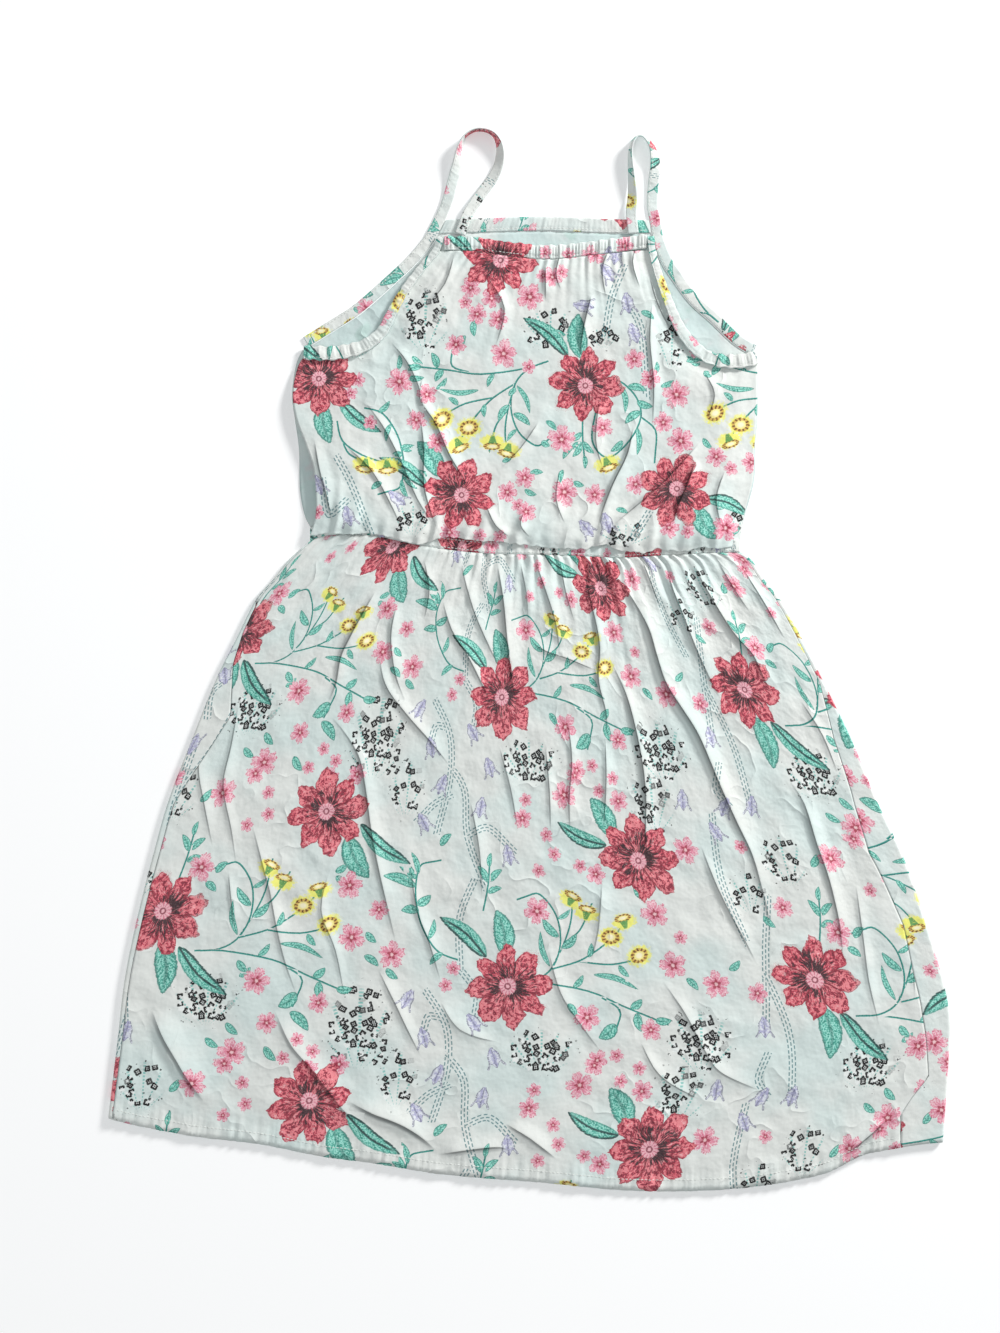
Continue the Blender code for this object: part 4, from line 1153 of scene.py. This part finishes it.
def skirt_front_face(s, v, outer):
    width = skirt_width(v)
    left = (look_up(FLAP_LEFT, v) + SIDE_GAP) / width
    right = 1 - (look_up(FLAP_RIGHT, v) + SIDE_GAP) / width
    place = blend(left, right, s)
    x, y = skirt_point(place, v)
    edge = smooth(np.minimum(s, 1 - s) * width * (right - left) / SIDE_EASE)
    pleats = gathers(skirt_gathers, 2, GATHER_HEIGHT, s, v, GATHER_REACH)
    rise = look_up(SKIRT_RISE, v) + look_up(GATHER_DEPTH, s) * pleats
    rise = rise + 0.8 * softness(x, y, 62, 1.3) + 0.3 * softness(x, y, 24, 4.1) * (0.5 + np.exp(-v / 0.3))
    pucker = wavering(s, 760, 60, 3) * (0.6 + 0.4 * np.sin(s * 131)) + 0.8 * wavering(s, 290, 37, 4)
    hem = np.where(v >= HEM_FROM, HEM_EXTRA, 0) + HEM_PUCKER * pucker * smooth((v - 0.955) / 0.03)
    top = np.maximum(blend(SEAM_TOP, rise + fold_height(x, y, skirt_folds), edge), LEAST_TOP) + hem
    under = np.maximum(top - thickness(x, y, skirt_folds, edge), PANEL + SIDE_GAP)
    return x, y, np.where(outer, top, under), *skirt_cut(place, v)


skirt_front = cloth_piece(
    "skirt_front_panel", "skirt_front", SKIRT_COLUMNS, SKIRT_ROWS, skirt_front_face, (-284, -291), SKIRT_FOLDS
)

# ---------------------------------------------------------------------------------------------------------
# Waist casings: a folded band of the cloth over a flat elastic, which gathers it into small even pleats. The
# back one lies on the table and the front one over it.
WAIST_RIPPLE = 0.35
WAIST_CUT = 560.0
CASING_TOP = 5.5
CASING_UNDER = 2.9
WAIST_COLUMNS = 432
WAIST_ROWS = 12
waist_ripple = ripple(shares(2 * WAIST_GATHERS, 3), 0.7 * WAIST_RIPPLE, 0.3 * WAIST_RIPPLE, 5)


def waist_front_face(s, v, outer):
    level = 2 * v - 1
    x, y = waist(s)
    wave = waist_ripple(s) * (1 - 0.3 * np.abs(level))
    top = CASING_TOP - WAIST_RIPPLE + 1.8 * wave - 0.4 * np.abs(level) ** 6
    z = np.where(outer, top, CASING_UNDER)
    return x, y + level * (WAIST_HALF + 0.4), z, (s - 0.5) * WAIST_CUT, 2 * WAIST_HALF * v


def waist_back_face(s, v, outer):
    x, y = waist(s)
    z = np.where(outer, 2.1 + 0.3 * wavering(s, 2 * math.pi * 60, 50, 1), 0)
    return x, y + (2 * v - 1) * WAIST_HALF, z, (s - 0.5) * WAIST_CUT, 2 * WAIST_HALF * v


waist_front = cloth_piece(
    "waist_front_casing", "waist_casing_front", WAIST_COLUMNS, WAIST_ROWS, waist_front_face, (40, 130)
)
waist_back = cloth_piece("waist_back_casing", "waist_casing_back", 300, 4, waist_back_face, (40, 130))

# ---------------------------------------------------------------------------------------------------------
# Armhole casings: turned edges of the front with thin elastic inside, narrow at the neck and wide under the
# arm, so their edges pucker.
UNDERARM_AT = 0.5
CASING_OVER = 1.5
ARM_GATHERS = 34
ARM_COLUMNS = 180
SIDES = ("left", "right")
ARM_LEFT = [
    (-67.0, 320.5), (-70.8, 309.5), (-80.2, 298.7), (-93.9, 280.4), (-103.0, 264.5), (-112.1, 247.8),
    (-127.3, 237.1), (-148.6, 232.6), (-170.6, 233.3),
]
ARM_RIGHT = [
    (92.6, 321.0), (94.2, 308.0), (98.4, 292.6), (105.3, 273.6), (113.6, 253.8), (124.3, 238.6),
    (137.9, 228.8), (156.2, 226.3), (173.2, 229.0),
]
arm_left = course(ARM_LEFT)
arm_right = course(ARM_RIGHT)


def arm_width(share):
    return blend(5.3, 10.6, smooth(share))


def groove(place, at, width):
    """1 on a line of stitches, where the thread pulls the cloth down, and 0 beside it."""
    return np.exp(-(((place - at) / width) ** 2))


def arm_casing_face(at, mirror, seed):
    """mirror is 1 where the bodice lies to the left of the line and -1 where it lies to the right."""
    pleats = ripple(shares(ARM_GATHERS, seed, 0.2), 0.25, 0.125, seed)

    def face(s, v, outer):
        level = 2 * v - 1
        pucker = pleats(s) * (0.7 + 1.3 * smooth((s - 0.55) / 0.25))
        half = arm_width(s) / 2
        x, y = beside(at, s, -mirror * level * (half + pucker * np.abs(level)))
        base = blend(2.0, 2.9, v)
        crown = 2.0 + (0.3 + 1.2 * pucker) * (1 - level**2) - 0.35 * groove(level, 0.6, 0.15)
        fine = (0.14 + 0.14 * s) * wavering(s, 290, 41, 2, seed) * (1 - level**2)
        return x, y, base + np.where(outer, crown + fine, 0), s * 170, 20 * seed + level * half

    return face


arm_faces = [arm_casing_face(arm_left, 1, 11), arm_casing_face(arm_right, -1, 12)]
arm_pieces = [
    cloth_piece(f"armhole_{side}_casing", f"armhole_casing_{side}", ARM_COLUMNS, 10, face, (-60, 10))
    for side, face in zip(SIDES, arm_faces)
]

# ---------------------------------------------------------------------------------------------------------
# Front of the bodice: gathered at the neck and at the waist, where the full cloth hangs a little over the
# casing. Its armhole edges lie under the armhole casings.
BLOUSE_EDGE = [
    (-165, -2.0), (-150, -4.2), (-128, -4.6), (-110, -3.6), (-95, -4.6), (-82, -4.0), (-74, -1.0),
    (-68, 2.8), (-60, 4.6), (-44, 3.6), (-22, 4.4), (-6, 2.4), (8, 0.6), (26, -0.4), (44, 0.8), (53, 3.6),
    (59, 4.8), (65, 1.4), (76, -1.6), (88, -2.4), (97, 0.4), (106, -1.8), (120, -2.8), (132, -0.6),
    (146, -2.2), (160, -0.6),
]
SIDE_FRONT_LEFT = [
    (-175.5, 221.0), (-178.7, 201.4), (-175.8, 182.4), (-169.0, 164.0), (-163.0, 146.0), (-161.0, 124.0),
    (-161.5, 108.0),
]
SIDE_FRONT_RIGHT = [(173.4, 214.0), (173.4, 190.0), (171.1, 159.6), (170.2, 136.8), (163.4, 110.2)]
FRONT_TOP = [(-40.7, 309.7), (-14.1, 305.9), (16.3, 303.6), (54.3, 307.4)]
BODICE_FOLDS = [
    (1.6, 7, 0.9, [(-79, 217), (-82, 198), (-70, 179), (-60, 156), (-51, 141), (-44, 128)]),
    (1.4, 7, 0.7, [(-82, 186), (-79, 160), (-79, 133), (-73, 110), (-67, 95)]),
    (1.6, 7, 0.9, [(48, 277), (42, 252), (39, 230)]),
    (1.4, 7, 0.8, [(91, 296), (97, 274), (106, 255), (117, 242), (130, 226)]),
    (1.6, 7, 0.9, [(80, 179), (75, 156), (64, 133), (56, 112), (52, 96)]),
    (1.8, 8, 1, [(127, 152), (121, 135), (114, 118), (109, 103)]),
    (1.3, 7, 0.6, [(132, 167), (106, 138), (85, 119), (58, 97)]),
    (1.2, 6, 0.8, [(13, 299), (13, 272)]),
    (1, 6, 0.6, [(25, 310), (21, 293), (25, 280)]),
    (1.2, 6, 0.6, [(-104, 241), (-92, 226), (-83, 207), (-79, 188)]),
    (1.3, 7, 0.6, [(-124, 196), (-110, 177), (-96, 150), (-84, 122), (-70, 100)]),
    (1.1, 6, 0.5, [(-31, 290), (-18, 266), (-25, 237)]),
    (1.2, 7, 0.6, [(-139, 163), (-119, 144), (-104, 118), (-96, 100)]),
    (1.5, 8, 0.9, [(-162, 167), (-158, 144), (-152, 122), (-148, 102)]),
    (1.2, 6, 0.6, [(94, 274), (92, 243), (95, 209), (94, 175)]),
    (1, 6, 0.5, [(133, 219), (141, 201), (135, 181)]),
    (1.2, 6, 0.7, [(-32, 117), (-25, 102), (-14, 93)]),
    (1, 6, 0.5, [(-3, 112), (-6, 102), (1, 93)]),
    (1, 7, 0.4, [(54, 198), (51, 167), (57, 144)]),
    (1, 6, 0.5, [(85, 319), (79, 302), (85, 281)]),
    (1, 6, 0.5, [(62, 312), (56, 296), (59, 274)]),
    (0.9, 7, 0.4, [(9, 182), (-6, 160), (-22, 144)]),
    (0.9, 6, 0.5, [(-56, 308), (-63, 285), (-79, 266)]),
    (1, 7, 0.5, [(149, 144), (142, 122), (146, 100)]),
    (0.9, 6, 0.4, [(24, 144), (21, 122), (28, 102)]),
]
BODICE_RISE = [
    (0.0, 4.0), (0.1, 4.8), (0.6, 5.0), (0.85, 6.8), (0.93, 9.0), (0.965, 9.2), (0.985, 8.5), (1.0, 7.0),
]
PANEL_END = 0.96
SIDE_LIFT = 3.2
EDGE_ROLL = 0.65
EDGE_TOP = 7.0
EDGE_THICK = 1.05
ROWS_BEND, ROWS_POWER = 0.4, 2


def two_lines(upper, lower):
    """The side of the bodice: one line as far as the underarm, and another from there down."""

    def at(v):
        above = upper(v / UNDERARM_AT)
        below = lower((v - UNDERARM_AT) / (1 - UNDERARM_AT))
        return tuple(np.where(v <= UNDERARM_AT, a, b) for a, b in zip(above, below))

    return at


def front_side(casing, mirror, side_points, corner):
    """The side of the front: first beside the armhole casing, then down the side seam."""
    share = blend(0.068, 1, np.arange(17) / 16)
    x, y = beside(casing, share, -mirror * (arm_width(share) / 2 - CASING_OVER))
    arm = np.stack([x, y], axis=1)
    return two_lines(course(arm, 0), course([arm[-1], *side_points, corner]))


def front_bottom(s):
    """The front's lower edge over the casing, uneven where the gathers push it out."""
    x, y = waist(s)
    return x, y + look_up(BLOUSE_EDGE, x) + 1.1 * softness(x, 0, 10, 3.4) + 0.35 * softness(x, 0, 4.2, 1.1)


front_left = front_side(arm_left, 1, SIDE_FRONT_LEFT, front_bottom(0))
front_right = front_side(arm_right, -1, SIDE_FRONT_RIGHT, front_bottom(1))
arm_edges = [side(UNDERARM_AT * k / 16) for side in (front_left, front_right) for k in range(17)]
front_top = course([front_left(0.0), *FRONT_TOP, front_right(0.0)])
bodice_folds = ready(BODICE_FOLDS)
bodice_gathers = shares(52, 9)
bodice_bulges = 0.9 * uneven(np.arange(len(bodice_gathers)) // 3, 8)


# Motifs of the front, whose cloth is cut with the print upside down: large flowers with their kind
BODICE_FLOWERS = [(-158, 214, 2), (43, 209, 0), (-22, 304, 1), (-52, 125, 1), (111, 129, 3)]
BODICE_SPRAYS = [(43, 209, 12), (252, 202, 6)]
BODICE_SHRINK = 0.88
BODICE_PINKS = {
    10.5: [(-98, 211), (-19, 232), (1, 275), (112, 201), (115, 166), (25, 167), (27, 127), (149, 100)],
    8.0: [
        (-77, 201), (-55, 239), (-44, 282), (-28, 274), (-39, 262), (-23, 258), (-85, 182), (-69, 165),
        (-16, 127), (-3, 138), (-60, 96), (18, 290), (80, 228), (92, 213), (102, 180), (56, 176), (142, 154),
        (169, 150), (81, 133), (50, 125), (-2, 112), (106, 100), (80, 316), (51, 308), (-73, 321),
    ],
    5.5: [
        (-129, 212), (-135, 202), (-48, 271), (-8, 117), (-22, 93), (-160, 112), (11, 291), (25, 294),
        (153, 145), (120, 97), (14, 311), (33, 309), (127, 234), (-37, 94), (-120, 180), (0, 222),
    ],
}
BODICE_LEAVES = [
    (-41, 257, -41, 245, 3), (-92, 214, -79, 214, 2.8), (-111, 134, -119, 129, 2.8),
    (-99, 220, -98, 231, 2.4), (85, 264, 95, 258, 2.8), (100, 207, 110, 212, 2.6), (33, 160, 42, 164, 3.2),
    (34, 163, 26, 152, 2.8),
    (13, 181, 21, 174, 2.6), (10, 166, 16, 162, 3), (34, 135, 42, 132, 2.6), (26, 144, 24, 134, 2.4),
    (1, 141, 11, 142, 2.6), (-3, 129, 6, 125, 2.6), (96, 217, 97, 226, 2.2), (66, 114, 75, 111, 2.4),
    (75, 207, 89, 204, 3.4), (82, 196, 94, 192, 3.4), (85, 188, 73, 179, 3.6), (82, 176, 82, 155, 2.6),
    (70, 208, 73, 187, 2.6), (71, 166, 62, 158, 3), (130, 224, 122, 226, 3.2), (133, 219, 139, 215, 3),
    (160, 100, 153, 94, 3), (142, 114, 152, 117, 2.6), (-70, 205, -62, 214, 2.4), (20, 250, 28, 246, 2.6),
    (-88, 230, -80, 224, 2.6), (-15, 200, -8, 206, 2.4), (132, 168, 139, 160, 2.6), (-20, 150, -12, 156, 2.4),
]
BODICE_BELLS = [
    (-159, 132, 20), (-136, 108, 15), (-99, 122, 50), (66, 307, -10), (60, 293, 35), (75, 270, 10),
    (80, 247, 20), (42, 268, 80), (44, 99, 40), (59, 103, 15),
]
BODICE_CLUSTERS = [
    (-79, 258, 20, 25), (16, 251, 22, 15), (108, 245, 10, 26), (73, 95, 20, 9), (57, 244, 11, 9),
    (-88, 106, 13, 13), (-136, 236, 16, 8), (155, 104, 8, 12),
]
BODICE_DASHES = [
    [(-146, 155), (-134, 133), (-120, 96)], [(73, 300), (63, 275), (59, 252)], [(92, 113), (82, 97)],
    [(75, 270), (85, 251), (89, 205)], [(-136, 122), (-151, 110), (-155, 129)],
]
BODICE_STEMS = [
    [(-145, 181), (-141, 166), (-126, 155), (-108, 149)], [(-141, 166), (-136, 156), (-124, 150)],
    [
        (60, 214), (71, 210), (82, 198), (85, 184), (77, 167), (63, 154), (54, 156), (48, 167), (50, 184),
        (54, 198),
    ],
    [(85, 184), (96, 174), (96, 158)],
]


def bodice_print():
    layout = Layout(BODICE_SHRINK)

    def upright(x, y):
        return x, y

    def about(x, y, turn=0):
        angle = math.radians(turn)
        c, s = BODICE_SHRINK * math.cos(angle), BODICE_SHRINK * math.sin(angle)
        return lambda a, b: (x - a * c + b * s, y - a * s - b * c)

    for number, (x, y, which) in enumerate(BODICE_FLOWERS):
        layout.large_flower(about(x, y), which, number + 2)
    for x, y, turn in BODICE_SPRAYS:
        layout.spray(about(x, y, turn), 180 + turn)
    layout.branch(about(-158, 205))
    for k, (x, y) in enumerate([(-124, 146), (-107, 145), (60, 147)]):
        layout.marks["posy"].append(round_mark(x, y, 10, 1, 170 + 15 * k, k + 0.5, SIDE_BUTTON))
    for size, places in BODICE_PINKS.items():
        for x, y in places:
            layout.pink(upright, x, y, size)
    for row in BODICE_LEAVES:
        layout.leaf(upright, *row)
    for row in BODICE_BELLS:
        layout.bell(upright, *row)
    for row in BODICE_CLUSTERS:
        layout.cluster(upright, *row)
    for points in BODICE_DASHES:
        layout.stem(upright, points, DASH_HALF, DASHED_STEM)
    for points in BODICE_STEMS:
        layout.stem(upright, points)
    return layout.marks


def bodice_front_face(s, v, outer):
    """The panel down to its lower edge, which rolls under at the last rows."""
    panel = np.minimum(v / PANEL_END, 1)
    from_side = np.minimum(s, 1 - s)
    x, y = patch(front_top, front_bottom, front_left, front_right, s, panel, ROWS_BEND, ROWS_POWER)
    cut = x, y
    edge_top = blend(2.3, 2.7, smooth((panel - 0.4) / 0.2))
    edge_top = edge_top + SIDE_LIFT * smooth((panel - 0.5) / 0.14) * smooth((0.3 - s) / 0.2)
    away = np.min([np.hypot(x - ax, y - ay) for ax, ay in arm_edges], axis=0)
    edge = np.minimum(smooth(from_side / 0.065), smooth((away - 2) / 16))
    bulge = between(bodice_gathers, bodice_bulges, s) * smooth((panel - 0.85) / 0.08)
    rise = look_up(BODICE_RISE, panel) + bulge
    rise = rise + gathers(bodice_gathers, 6, 0.55, s, panel, 0.085)
    rise = rise + gathers(bodice_gathers, 7, 1.7, s, 1 - panel, 0.06)
    rise = rise + 0.65 * softness(x, y, 48, 2.2) + 0.25 * softness(x, y, 20, 0.7)
    top = np.maximum(blend(edge_top, rise + fold_height(x, y, bodice_folds), edge), 2.3)
    at_edge = panel > 0.95
    top = np.where(at_edge, np.maximum(top, blend(edge_top, EDGE_TOP, smooth(from_side / 0.03))), top)
    thick = thickness(x, y, bodice_folds, edge)
    thick = np.where(at_edge, np.minimum(thick, EDGE_THICK), thick)
    turn = math.pi * np.maximum((v - PANEL_END) / (1 - PANEL_END), 0)
    radius = EDGE_ROLL - np.where(outer, 0, CLOTH)
    rolled = turn > 0
    y = y + EDGE_ROLL * np.where(rolled, 1, np.maximum((panel - 0.97) / 0.03, 0))
    y = np.where(rolled, y - radius * np.sin(turn), y)
    flat_z = np.where(outer, top, np.maximum(top - thick, PANEL + SIDE_GAP))
    return x, y, np.where(rolled, top - EDGE_ROLL + radius * np.cos(turn), flat_z), *cut


bodice_marks = bodice_print()
bodice_front = cloth_piece(
    "bodice_front_panel", "bodice_front", 236, 180, bodice_front_face, folds=BODICE_FOLDS, marks=bodice_marks
)

# ---------------------------------------------------------------------------------------------------------
# Front neck casing: the top edge turned down over elastic, puckered along both of its edges.
NECK_FRONT = [(-63.9, 316.2), (-40.7, 315.4), (-14.1, 311.6), (16.3, 309.3), (54.3, 313.1), (89.5, 317.6)]
NECK_CASING = 10.6
NECK_GATHERS = 20
NECK_COLUMNS, NECK_ROWS = 240, 14
neck_front = course(NECK_FRONT)
neck_ripple = ripple(shares(2 * NECK_GATHERS, 14), 0.4, 0.25, 13)


def neck_front_face(s, v, outer):
    level = 2 * v - 1
    x, y = neck_front(s)
    pucker = neck_ripple(s)
    half = NECK_CASING / 2 + pucker * np.clip(-level, 0, 1)
    fine = wavering(s, 330, 57) * (0.42 + 0.16 * np.sin(s * 71))
    top = 3.7 + 0.6 * (1 - level**2) + 0.9 * pucker + fine * (1 - level**4)
    top = top - 0.5 * groove(level, 0.55, 0.13) - 0.5 * level**8
    return x, y - level * half, np.where(outer, top, 1.5), x * 1.1, y + 2 - level * half


neck_front_piece = cloth_piece(
    "neck_front_casing", "neck_casing_front", NECK_COLUMNS, NECK_ROWS, neck_front_face, marks=bodice_marks
)

# ---------------------------------------------------------------------------------------------------------
# Back of the bodice: it lies on the table with its plain inside up, which shows at the neck and beside the
# armholes. Its armhole edges are bound by the straps.
STRAP_WIDTH = 8.0
STRAP_THICK = 1.5
BINDING_GAP = 0.7
SIDE_BACK_LEFT = [
    (-172.0, 235.0), (-176.7, 224.2), (-179.7, 201.4), (-177.5, 182.4), (-174.4, 159.6), (-173.7, 129.2),
    (-170.2, 110.2),
]
SIDE_BACK_RIGHT = [
    (173.2, 231.0), (174.4, 216.6), (174.4, 190.0), (172.1, 159.6), (171.4, 136.8), (164.5, 110.2),
]
BACK_TOP = [(-21.7, 324.8), (12.5, 325.6), (54.3, 324.0)]
# Middle lines of the straps: x, y, turn on edge in degrees, height of the underside
STRAP_LEFT_BINDING = [
    (-169.1, 241.7, 0, 0), (-148.6, 254.6, 0, 0), (-131.9, 265.2, 0, 0), (-118.2, 276.6, 0, 0),
    (-103.0, 290.3, 0, 0), (-88.5, 304.0, 0, 0), (-76.4, 318.4, 0, 0), (-72.4, 325.4, 0, 0),
]
STRAP_LEFT_LOOP = [
    (-67.3, 335.2, 0, 0), (-61.9, 348.1, 0, 0), (-58.1, 361.8, 8, 0), (-54.3, 376.2, 35, 0),
    (-52.1, 389.1, 72, 0), (-48.3, 397.0, 88, 0), (-40.7, 401.6, 90, 0), (-32.3, 401.4, 88, 0),
    (-25.5, 397.4, 76, 0), (-21.7, 388.4, 52, 0), (-22.4, 377.0, 26, 0), (-27.0, 366.3, 8, 0),
    (-34.6, 355.7, 0, 0.4), (-41.4, 345.8, 0, 1.6), (-46.7, 336.7, 0, 2.5), (-50.5, 326.8, 0, 2.5),
    (-51.9, 322.9, 0, 2.5),
]
STRAP_RIGHT_BINDING = [
    (171.4, 235.6, 0, 0), (158.5, 243.2, 0, 0), (141.7, 259.2, 0, 0), (125.8, 273.6, 0, 0),
    (114.4, 288.8, 0, 0), (105.3, 302.5, 0, 0), (99.2, 316.9, 0, 0), (97.6, 324.6, 0, 0),
]
STRAP_RIGHT_LOOP = [
    (96.1, 332.9, 0, 0), (93.9, 345.8, 0, 0), (94.6, 361.0, 4, 0), (96.1, 376.2, 20, 0),
    (93.6, 388.9, 52, 0), (86.9, 396.9, 70, 0), (80.4, 395.2, 78, 0), (77.1, 385.3, 74, 0),
    (77.9, 368.6, 60, 0), (78.7, 352.6, 34, 0.8), (77.9, 339.9, 6, 2.3), (78.9, 328.3, 0, 2.5),
    (79.4, 323.7, 0, 2.5),
]


def back_side(binding, mirror, side_points, corner):
    """The side of the back: first beside the binding, then down the side seam."""
    line = course([row[:2] for row in binding])
    x, y = beside(line, 1 - np.arange(25) / 24, mirror * (STRAP_WIDTH / 2 + BINDING_GAP))
    return two_lines(course([*zip(x, y), side_points[0]], 0), course([*side_points, corner]))


back_left = back_side(STRAP_LEFT_BINDING, 1, SIDE_BACK_LEFT, waist_upper(0))
back_right = back_side(STRAP_RIGHT_BINDING, -1, SIDE_BACK_RIGHT, waist_upper(1))
back_top = course([back_left(0.0), *BACK_TOP, back_right(0.0)])


def bodice_back_face(s, v, outer):
    x, y = patch(back_top, waist_upper, back_left, back_right, s, v, ROWS_BEND, ROWS_POWER)
    lift = 0.28 * (1 + softness(x, y, 40, 5.0)) * smooth(np.minimum(s, 1 - s) / 0.05)
    return x, y, np.where(outer, CLOTH + lift, lift * 0.6), -x, y


bodice_back = cloth_piece(
    "bodice_back_panel", "bodice_back", 150, 100, bodice_back_face, (-100, 190), printed_outer=False
)

# ---------------------------------------------------------------------------------------------------------
# Back neck casing: the back's top edge turned over elastic, between the two straps.
NECK_BACK_UPPER = [(-62.6, 334.4), (-21.7, 335.9), (12.5, 336.7), (54.3, 335.1), (91.3, 333.8)]
neck_upper = course(NECK_BACK_UPPER)
NECK_BACK_COLUMNS = 200
neck_back_ripple = ripple(shares(30, 16), 0.2, 0.1, 15)


def neck_back_face(s, v, outer):
    (ux, uy), (lx, ly) = neck_upper(s), back_top(s)
    top = 1.8 + neck_back_ripple(s) * 0.7 + 0.1 * wavering(s, 300, 47) - 0.4 * (2 * v - 1) ** 6
    z = np.where(outer, top - 0.35 * groove(v, 0.8, 0.07), 0)
    return blend(ux, lx, v), blend(uy, ly + BUTT, v), z, (s - 0.5) * 230, 420 - 10 * v


neck_back_piece = cloth_piece(
    "neck_back_casing", "neck_casing_back", NECK_BACK_COLUMNS, 10, neck_back_face, (-40, 370)
)

# ---------------------------------------------------------------------------------------------------------
# Straps: each is one folded strip of the print, stitched along its edge. It binds the back armhole, runs on
# as the strap, loops over and comes down to the front neck casing.
STRAP_PRINT = [(-70, 205), (27, 337)]
STRAP_LENGTH = 430
STRAP_COLUMNS = 320


def strap_face(binding, loop, seed):
    middle = course([*binding, *loop])

    def face(s, v, outer):
        x, y, turn, lift = middle(s)
        dx, dy = direction(middle, s)
        level = 2 * v - 1
        tilt = np.radians(np.maximum(turn, 0))
        wide = STRAP_WIDTH / 2 * level
        plump = 1 - 0.35 * level**6 - 0.16 * groove(np.abs(level), 0.62, 0.12)
        thick = STRAP_THICK / 2 * plump * np.where(outer, 1, -1)
        aside = wide * np.cos(tilt) - thick * np.sin(tilt)
        up = wide * np.sin(tilt) + thick * np.cos(tilt)
        height = STRAP_WIDTH / 2 * np.sin(tilt) + STRAP_THICK / 2 * np.cos(tilt)
        z = np.maximum(lift, 0) + height + up
        return x - dy * aside, y + dx * aside, z, s * STRAP_LENGTH, 77 * seed + wide

    return face


strap_faces = [
    strap_face(STRAP_LEFT_BINDING, STRAP_LEFT_LOOP, 3), strap_face(STRAP_RIGHT_BINDING, STRAP_RIGHT_LOOP, 4)
]
strap_pieces = [
    cloth_piece(f"{side}_strap", f"strap_{side}", STRAP_COLUMNS, 10, face, origin)
    for side, face, origin in zip(SIDES, strap_faces, STRAP_PRINT)
]

# ---------------------------------------------------------------------------------------------------------
# Stitches: rows of white thread, sewn by machine along the hem, the casings and the straps. Each stitch is a
# short bead of thread, sunk a little into the cloth where it was pulled tight.
STITCH_STEP = 3.0
STITCH_SIZE = (0.75, 0.6, 2.3)  # across, high and along
STITCH_END = 4.0
# Where the rows run: shares of a piece's width, or rows of its own grid
SEWN_AT = 0.8
HEM_SEWN = SKIRT_ROWS - 2
WAIST_SEWN = (2, 10)
NECK_SEWN = 11
thread, ink, shader = new_cloth("white_thread", 0.65, 0.1)
place = Value(ink.tree, ink.tree.nodes.new("ShaderNodeTexCoord").outputs["Object"])
strand = place.noise(3200.0, 2.0)
cover(ink, shader, ink.paint(240, 242, 238).painted((204, 209, 204), strand.rise(0.4, 0.6)), strand * 0.1)


def sew(name, rows):
    """Rows of stitches, each given by a piece's face, its columns, and how far across it the row runs."""
    bm = bmesh.new()
    for face, columns, level in rows:
        s = np.arange(columns + 1) / columns
        outer, inner = (
            np.stack(np.broadcast_arrays(*face(s, level, side)[:3]), axis=1) for side in (True, False)
        )
        run = np.append(0, np.cumsum(np.linalg.norm(np.diff(outer, axis=0), axis=1)))
        for middle in np.arange(STITCH_END, run[-1] - STITCH_END, STITCH_STEP):
            before, at, after = (
                np.array([np.interp(middle + step, run, column) for column in outer.T])
                for step in (-STITCH_STEP / 3, 0, STITCH_STEP / 3)
            )
            under = np.array([np.interp(middle, run, column) for column in inner.T])
            along = (after - before) / np.linalg.norm(after - before)
            across = np.cross(at - under, along)
            across /= np.linalg.norm(across)
            turned = Matrix(np.stack([across, np.cross(along, across), along], axis=1) * STITCH_SIZE * MM / 2)
            there = Matrix.Translation(at * MM) @ turned.to_4x4()
            bmesh.ops.create_uvsphere(bm, u_segments=6, v_segments=4, radius=1.0, matrix=there)
    mesh = bpy.data.meshes.new(name)
    bm.to_mesh(mesh)
    bm.free()
    mesh.polygons.foreach_set("use_smooth", np.ones(len(mesh.polygons), bool))
    mesh.materials.append(thread)
    piece = new_object(name, mesh)
    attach(piece, "root")
    return piece


hem_stitches = sew("hem_stitches", [(skirt_front_face, SKIRT_COLUMNS, HEM_SEWN / SKIRT_ROWS)])
waist_stitches = sew(
    "waist_stitches",
    [(waist_front_face, WAIST_COLUMNS, row / WAIST_ROWS) for row in WAIST_SEWN],
)
arm_stitches = [
    sew(f"armhole_{side}_stitches", [(face, ARM_COLUMNS, SEWN_AT)])
    for side, face in zip(SIDES, arm_faces)
]
neck_stitches = sew(
    "neck_stitches", [(neck_front_face, NECK_COLUMNS, NECK_SEWN / NECK_ROWS)]
)
back_neck_stitches = sew(
    "back_neck_stitches", [(neck_back_face, NECK_BACK_COLUMNS, SEWN_AT)]
)
strap_stitches = [
    sew(f"{side}_strap_stitches", [(face, STRAP_COLUMNS, SEWN_AT)])
    for side, face in zip(SIDES, strap_faces)
]
